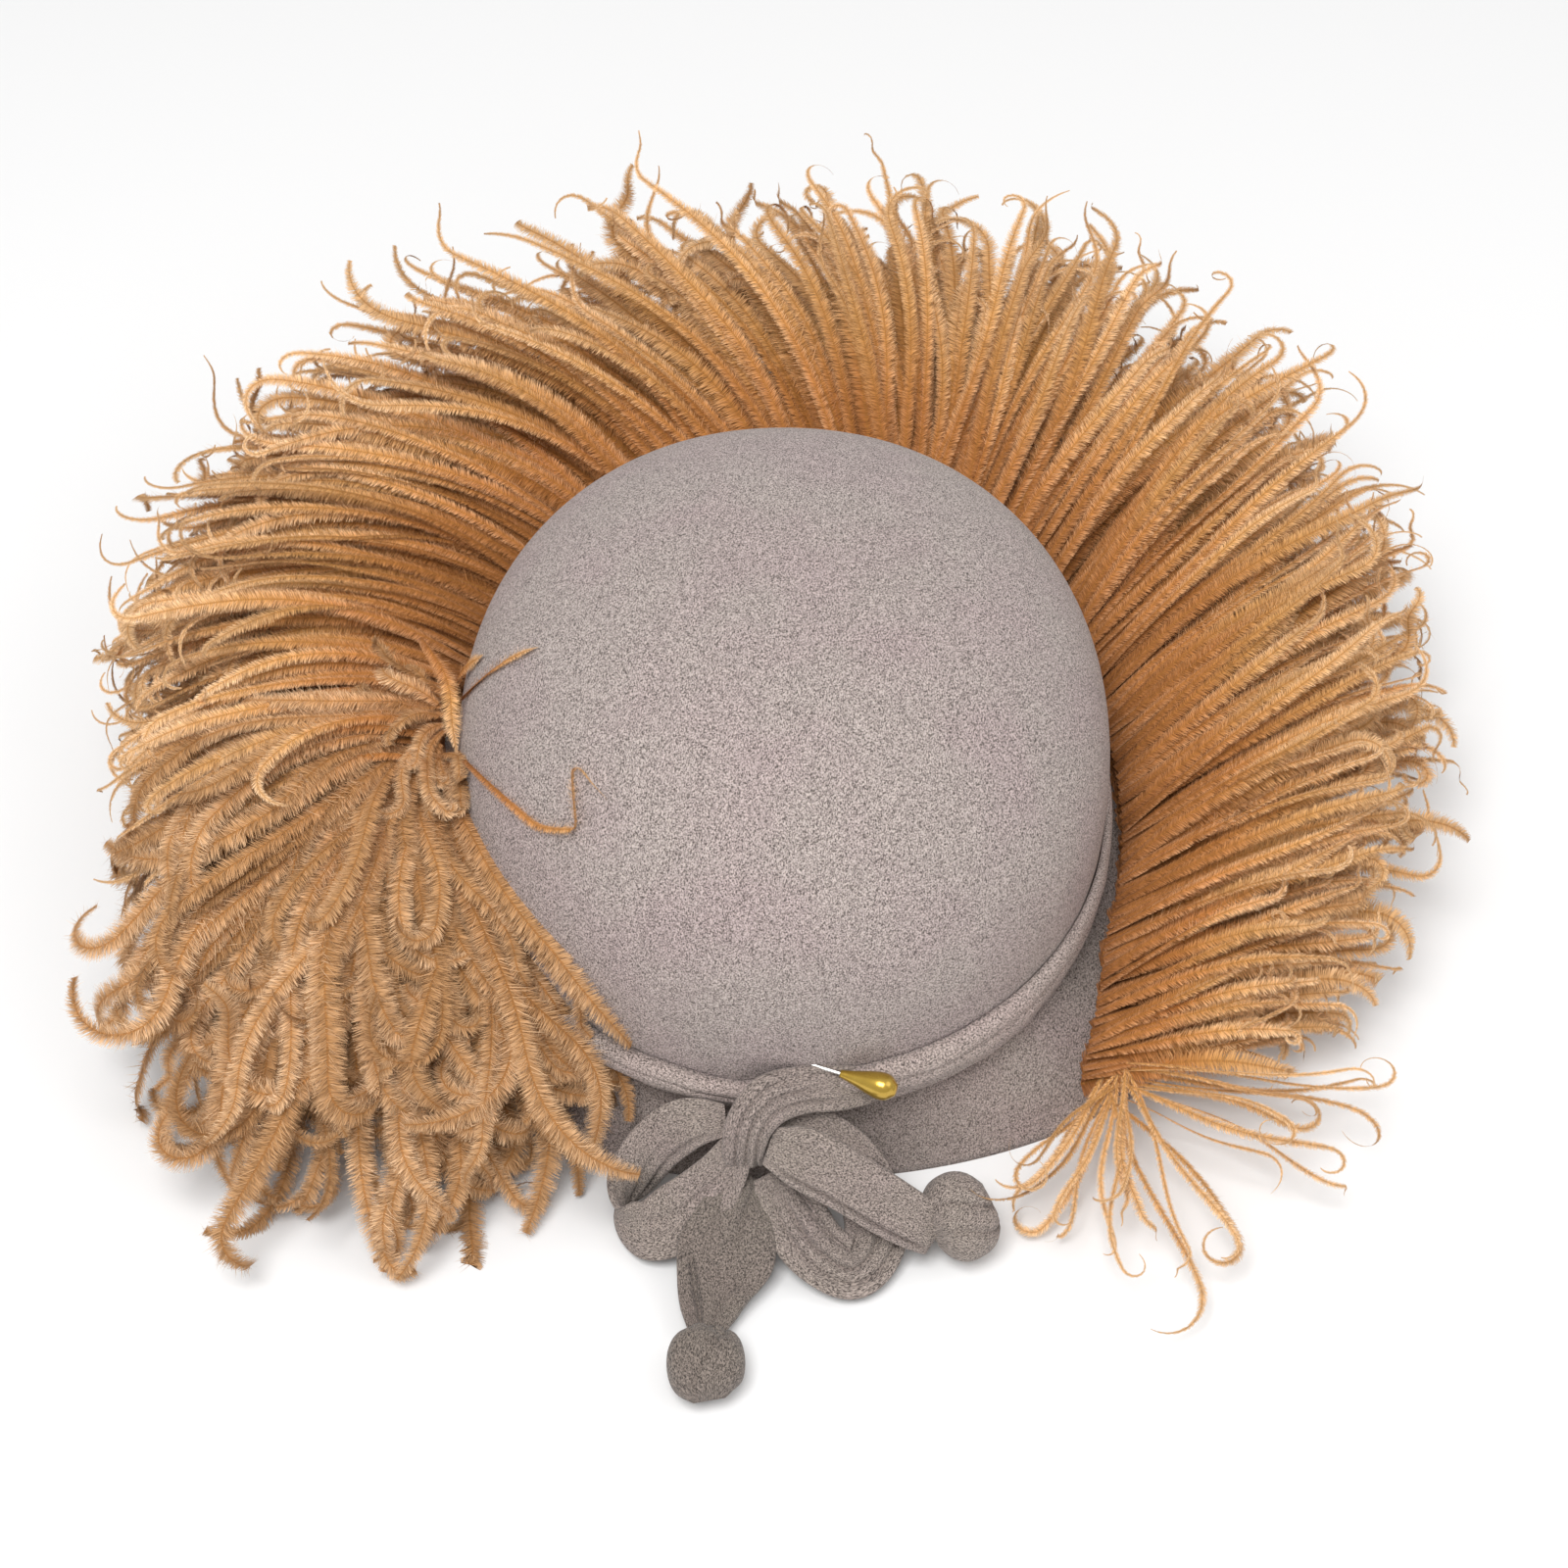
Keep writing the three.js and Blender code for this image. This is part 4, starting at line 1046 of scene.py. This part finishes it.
# The lower droop barbs' tone is scaled down too: painted shade below the droop.
below = [(points - (0, 0, SUNK_MM * MM), tone * UNDER_BARB_PAINTED_SHADE, width) for points, tone, width in below]
hooked = {"down_widths": HOOKED_WIDTHS, "dyed_from": 0.5, "colouring": droop_feather_painted_shade}
feathered("plume_droop_a", droop[0::2], DROOP_SPACING, CURLED_ROLL, 5, **hooked)
feathered("plume_droop_b", droop[1::2], DROOP_SPACING, CURLED_ROLL, 6, **hooked)
feathered("plume_droop_under", below, 0.8 * MM, CURLED_ROLL, 10, **hooked)

# Base: the first barbs of the right plume, shorter and with little down, which hang apart in front
# of its quill, outside the brim's rim.
BASE_LEFT = [(-124, -4, -18, -4, 66), (-112, -6, -20, 6, 78), (-98, -8, -18, 12, 74)]
BASE_MIDDLE = [(-90, -8, -18, 6, 92), (-46, -6, -16, -6, 84)]
BASE_RIGHT = [(-30, -2, -10, 4, 84), (-12, 4, -8, 8, 92), (4, 10, -8, 10, 92)]
BASE_FROM, BASE_TO = (86, -88, 24), (92, -82, 26)
base = []
for rows, count in ((BASE_LEFT, 13), (BASE_MIDDLE, 3), (BASE_RIGHT, 13)):
    stretch = rows, BASE_FROM, BASE_TO
    base += cluster(*stretch, count, random, (0.8, 0.9, 1.0), widest=(0.8, 1.8), wave=26, curl=1.0)
feathered("plume_base", base, FRINGE_SPACING, SOFT_ROLL, 8, dyed_from=0.55)

# Tuft: short curled barbs at the place where the droop springs from the quill. They have the
# droop's darker colours, painted shade, and fan out from nearly the same stretch as it does.
TUFT = [
    (150, 40, 0, -60, 20),
    (200, 30, -30, 40, 30),
    (250, 20, -40, 60, 34),
    (300, 34, -10, 40, 26),
    (340, 50, 10, -60, 18),
]
TUFT_FROM, TUFT_TO = (-94, 2, 82), (-92, -22, 72)
FLUFFY_SPACING = 0.3 * MM
stretch = TUFT, TUFT_FROM, TUFT_TO
tuft = cluster(*stretch, 26, random, (0.7, 1.0, 1.2), widest=(2.2, 3.4), wave=20, curl=0.7)
feathered("plume_tuft", tuft, FLUFFY_SPACING, CURLED_ROLL, 11, **hooked)

# Strays: single barbs that have sprung loose, over the crown on the left and across the place
# where the two plumes meet at the back.
STRAYS = [
    (
        (-88.1, -13.8, 75.3), (-83.1, -29.4, 86.0), (-76.7, -42.0, 92.0), (-69.4, -53.4, 95.6),
        (-62.5, -61.8, 97.4), (-55.9, -66.1, 101.0), (-53.0, -67.3, 102.7), (-53.3, -62.2, 106.3),
        (-53.5, -54.5, 110.8), (-52.2, -54.6, 111.6), (-48.2, -60.1, 111.3), (-44.4, -64.8, 110.6),
    ),
    (
        (-88.5, -4, 84.0), (-78.0, -10.0, 101.5), (-72.3, -11.9, 108.1), (-66.8, -13.7, 113.1),
        (-64.0, -14.6, 115.1),
    ),
    (
        (-90.5, 4, 82.0), (-86.9, 3.7, 88.8), (-80.6, -1.4, 99.0),
    ),
    (
        (-98.2, 8.6, 96.0), (-92.6, 1.3, 92.0), (-90.3, -4.1, 90.0), (-89.1, -13.0, 84.0),
        (-88.0, -18.2, 78.0),
    ),
    (
        (50.0, 96.0, 46.0), (58.0, 118.0, 58.0), (65.6, 129.5, 66.0), (74.1, 126.2, 70.0),
        (85.3, 120.6, 72.0), (97.1, 118.4, 70.0), (106.2, 115.1, 64.0), (112.6, 113.0, 56.0),
    ),
    (
        (52.0, 95.0, 46.0), (60.0, 112.0, 60.0), (66.0, 119.7, 68.0), (75.2, 125.9, 74.0),
        (88.5, 132.4, 80.0), (98.0, 143.8, 82.0), (104.8, 153.3, 80.0),
    ),
]
STRAY_WIDTHS = (2.0, 2.0, 2.4, 3.0, 3.2, 3.4)
STRAY_TONE = 0.7
lines = [along_rows(np.array(points, float), BARB_SHARES) for points in STRAYS]
lines = [np.array([tuple(at(*point)) for point in line]) for line in lines]
strays = [(line, STRAY_TONE, width * MM) for line, width in zip(lines, STRAY_WIDTHS)]
feathered("plume_strays", strays, FLUFFY_SPACING, 1.2, 9)
bpy.data.objects.remove(pair)

# Floor and light: a plain pale floor under soft light from above the camera's left.
bpy.ops.mesh.primitive_plane_add(size=6)
floor = bpy.context.object
floor.name = "floor"
floor_white, tree, shader = node_material("floor_white")
settled(shader, Base_Color=(0.86, 0.86, 0.86, 1), Roughness=0.9)
floor.data.materials.append(floor_white)
world = bpy.data.worlds.new("studio")
bpy.context.scene.world = world
world.use_nodes = True
settled(world.node_tree.nodes["Background"], Color=(1, 1, 1, 1), Strength=0.6)
for name, place, size, power in (
    ("key", (-0.25, -0.8, 1.6), 0.8, 24),
    ("fill", (1.1, -0.4, 1.2), 1.0, 4),
):
    light = bpy.data.lights.new(name, "AREA")
    light.size = size
    light.energy = power
    lamp = bpy.data.objects.new(name, light)
    bpy.context.collection.objects.link(lamp)
    lamp.location = place
    lamp.rotation_euler = (Vector(place) - Vector((0, 0, 0.04))).to_track_quat("Z", "Y").to_euler()
bpy.context.scene.view_settings.view_transform = "Standard"
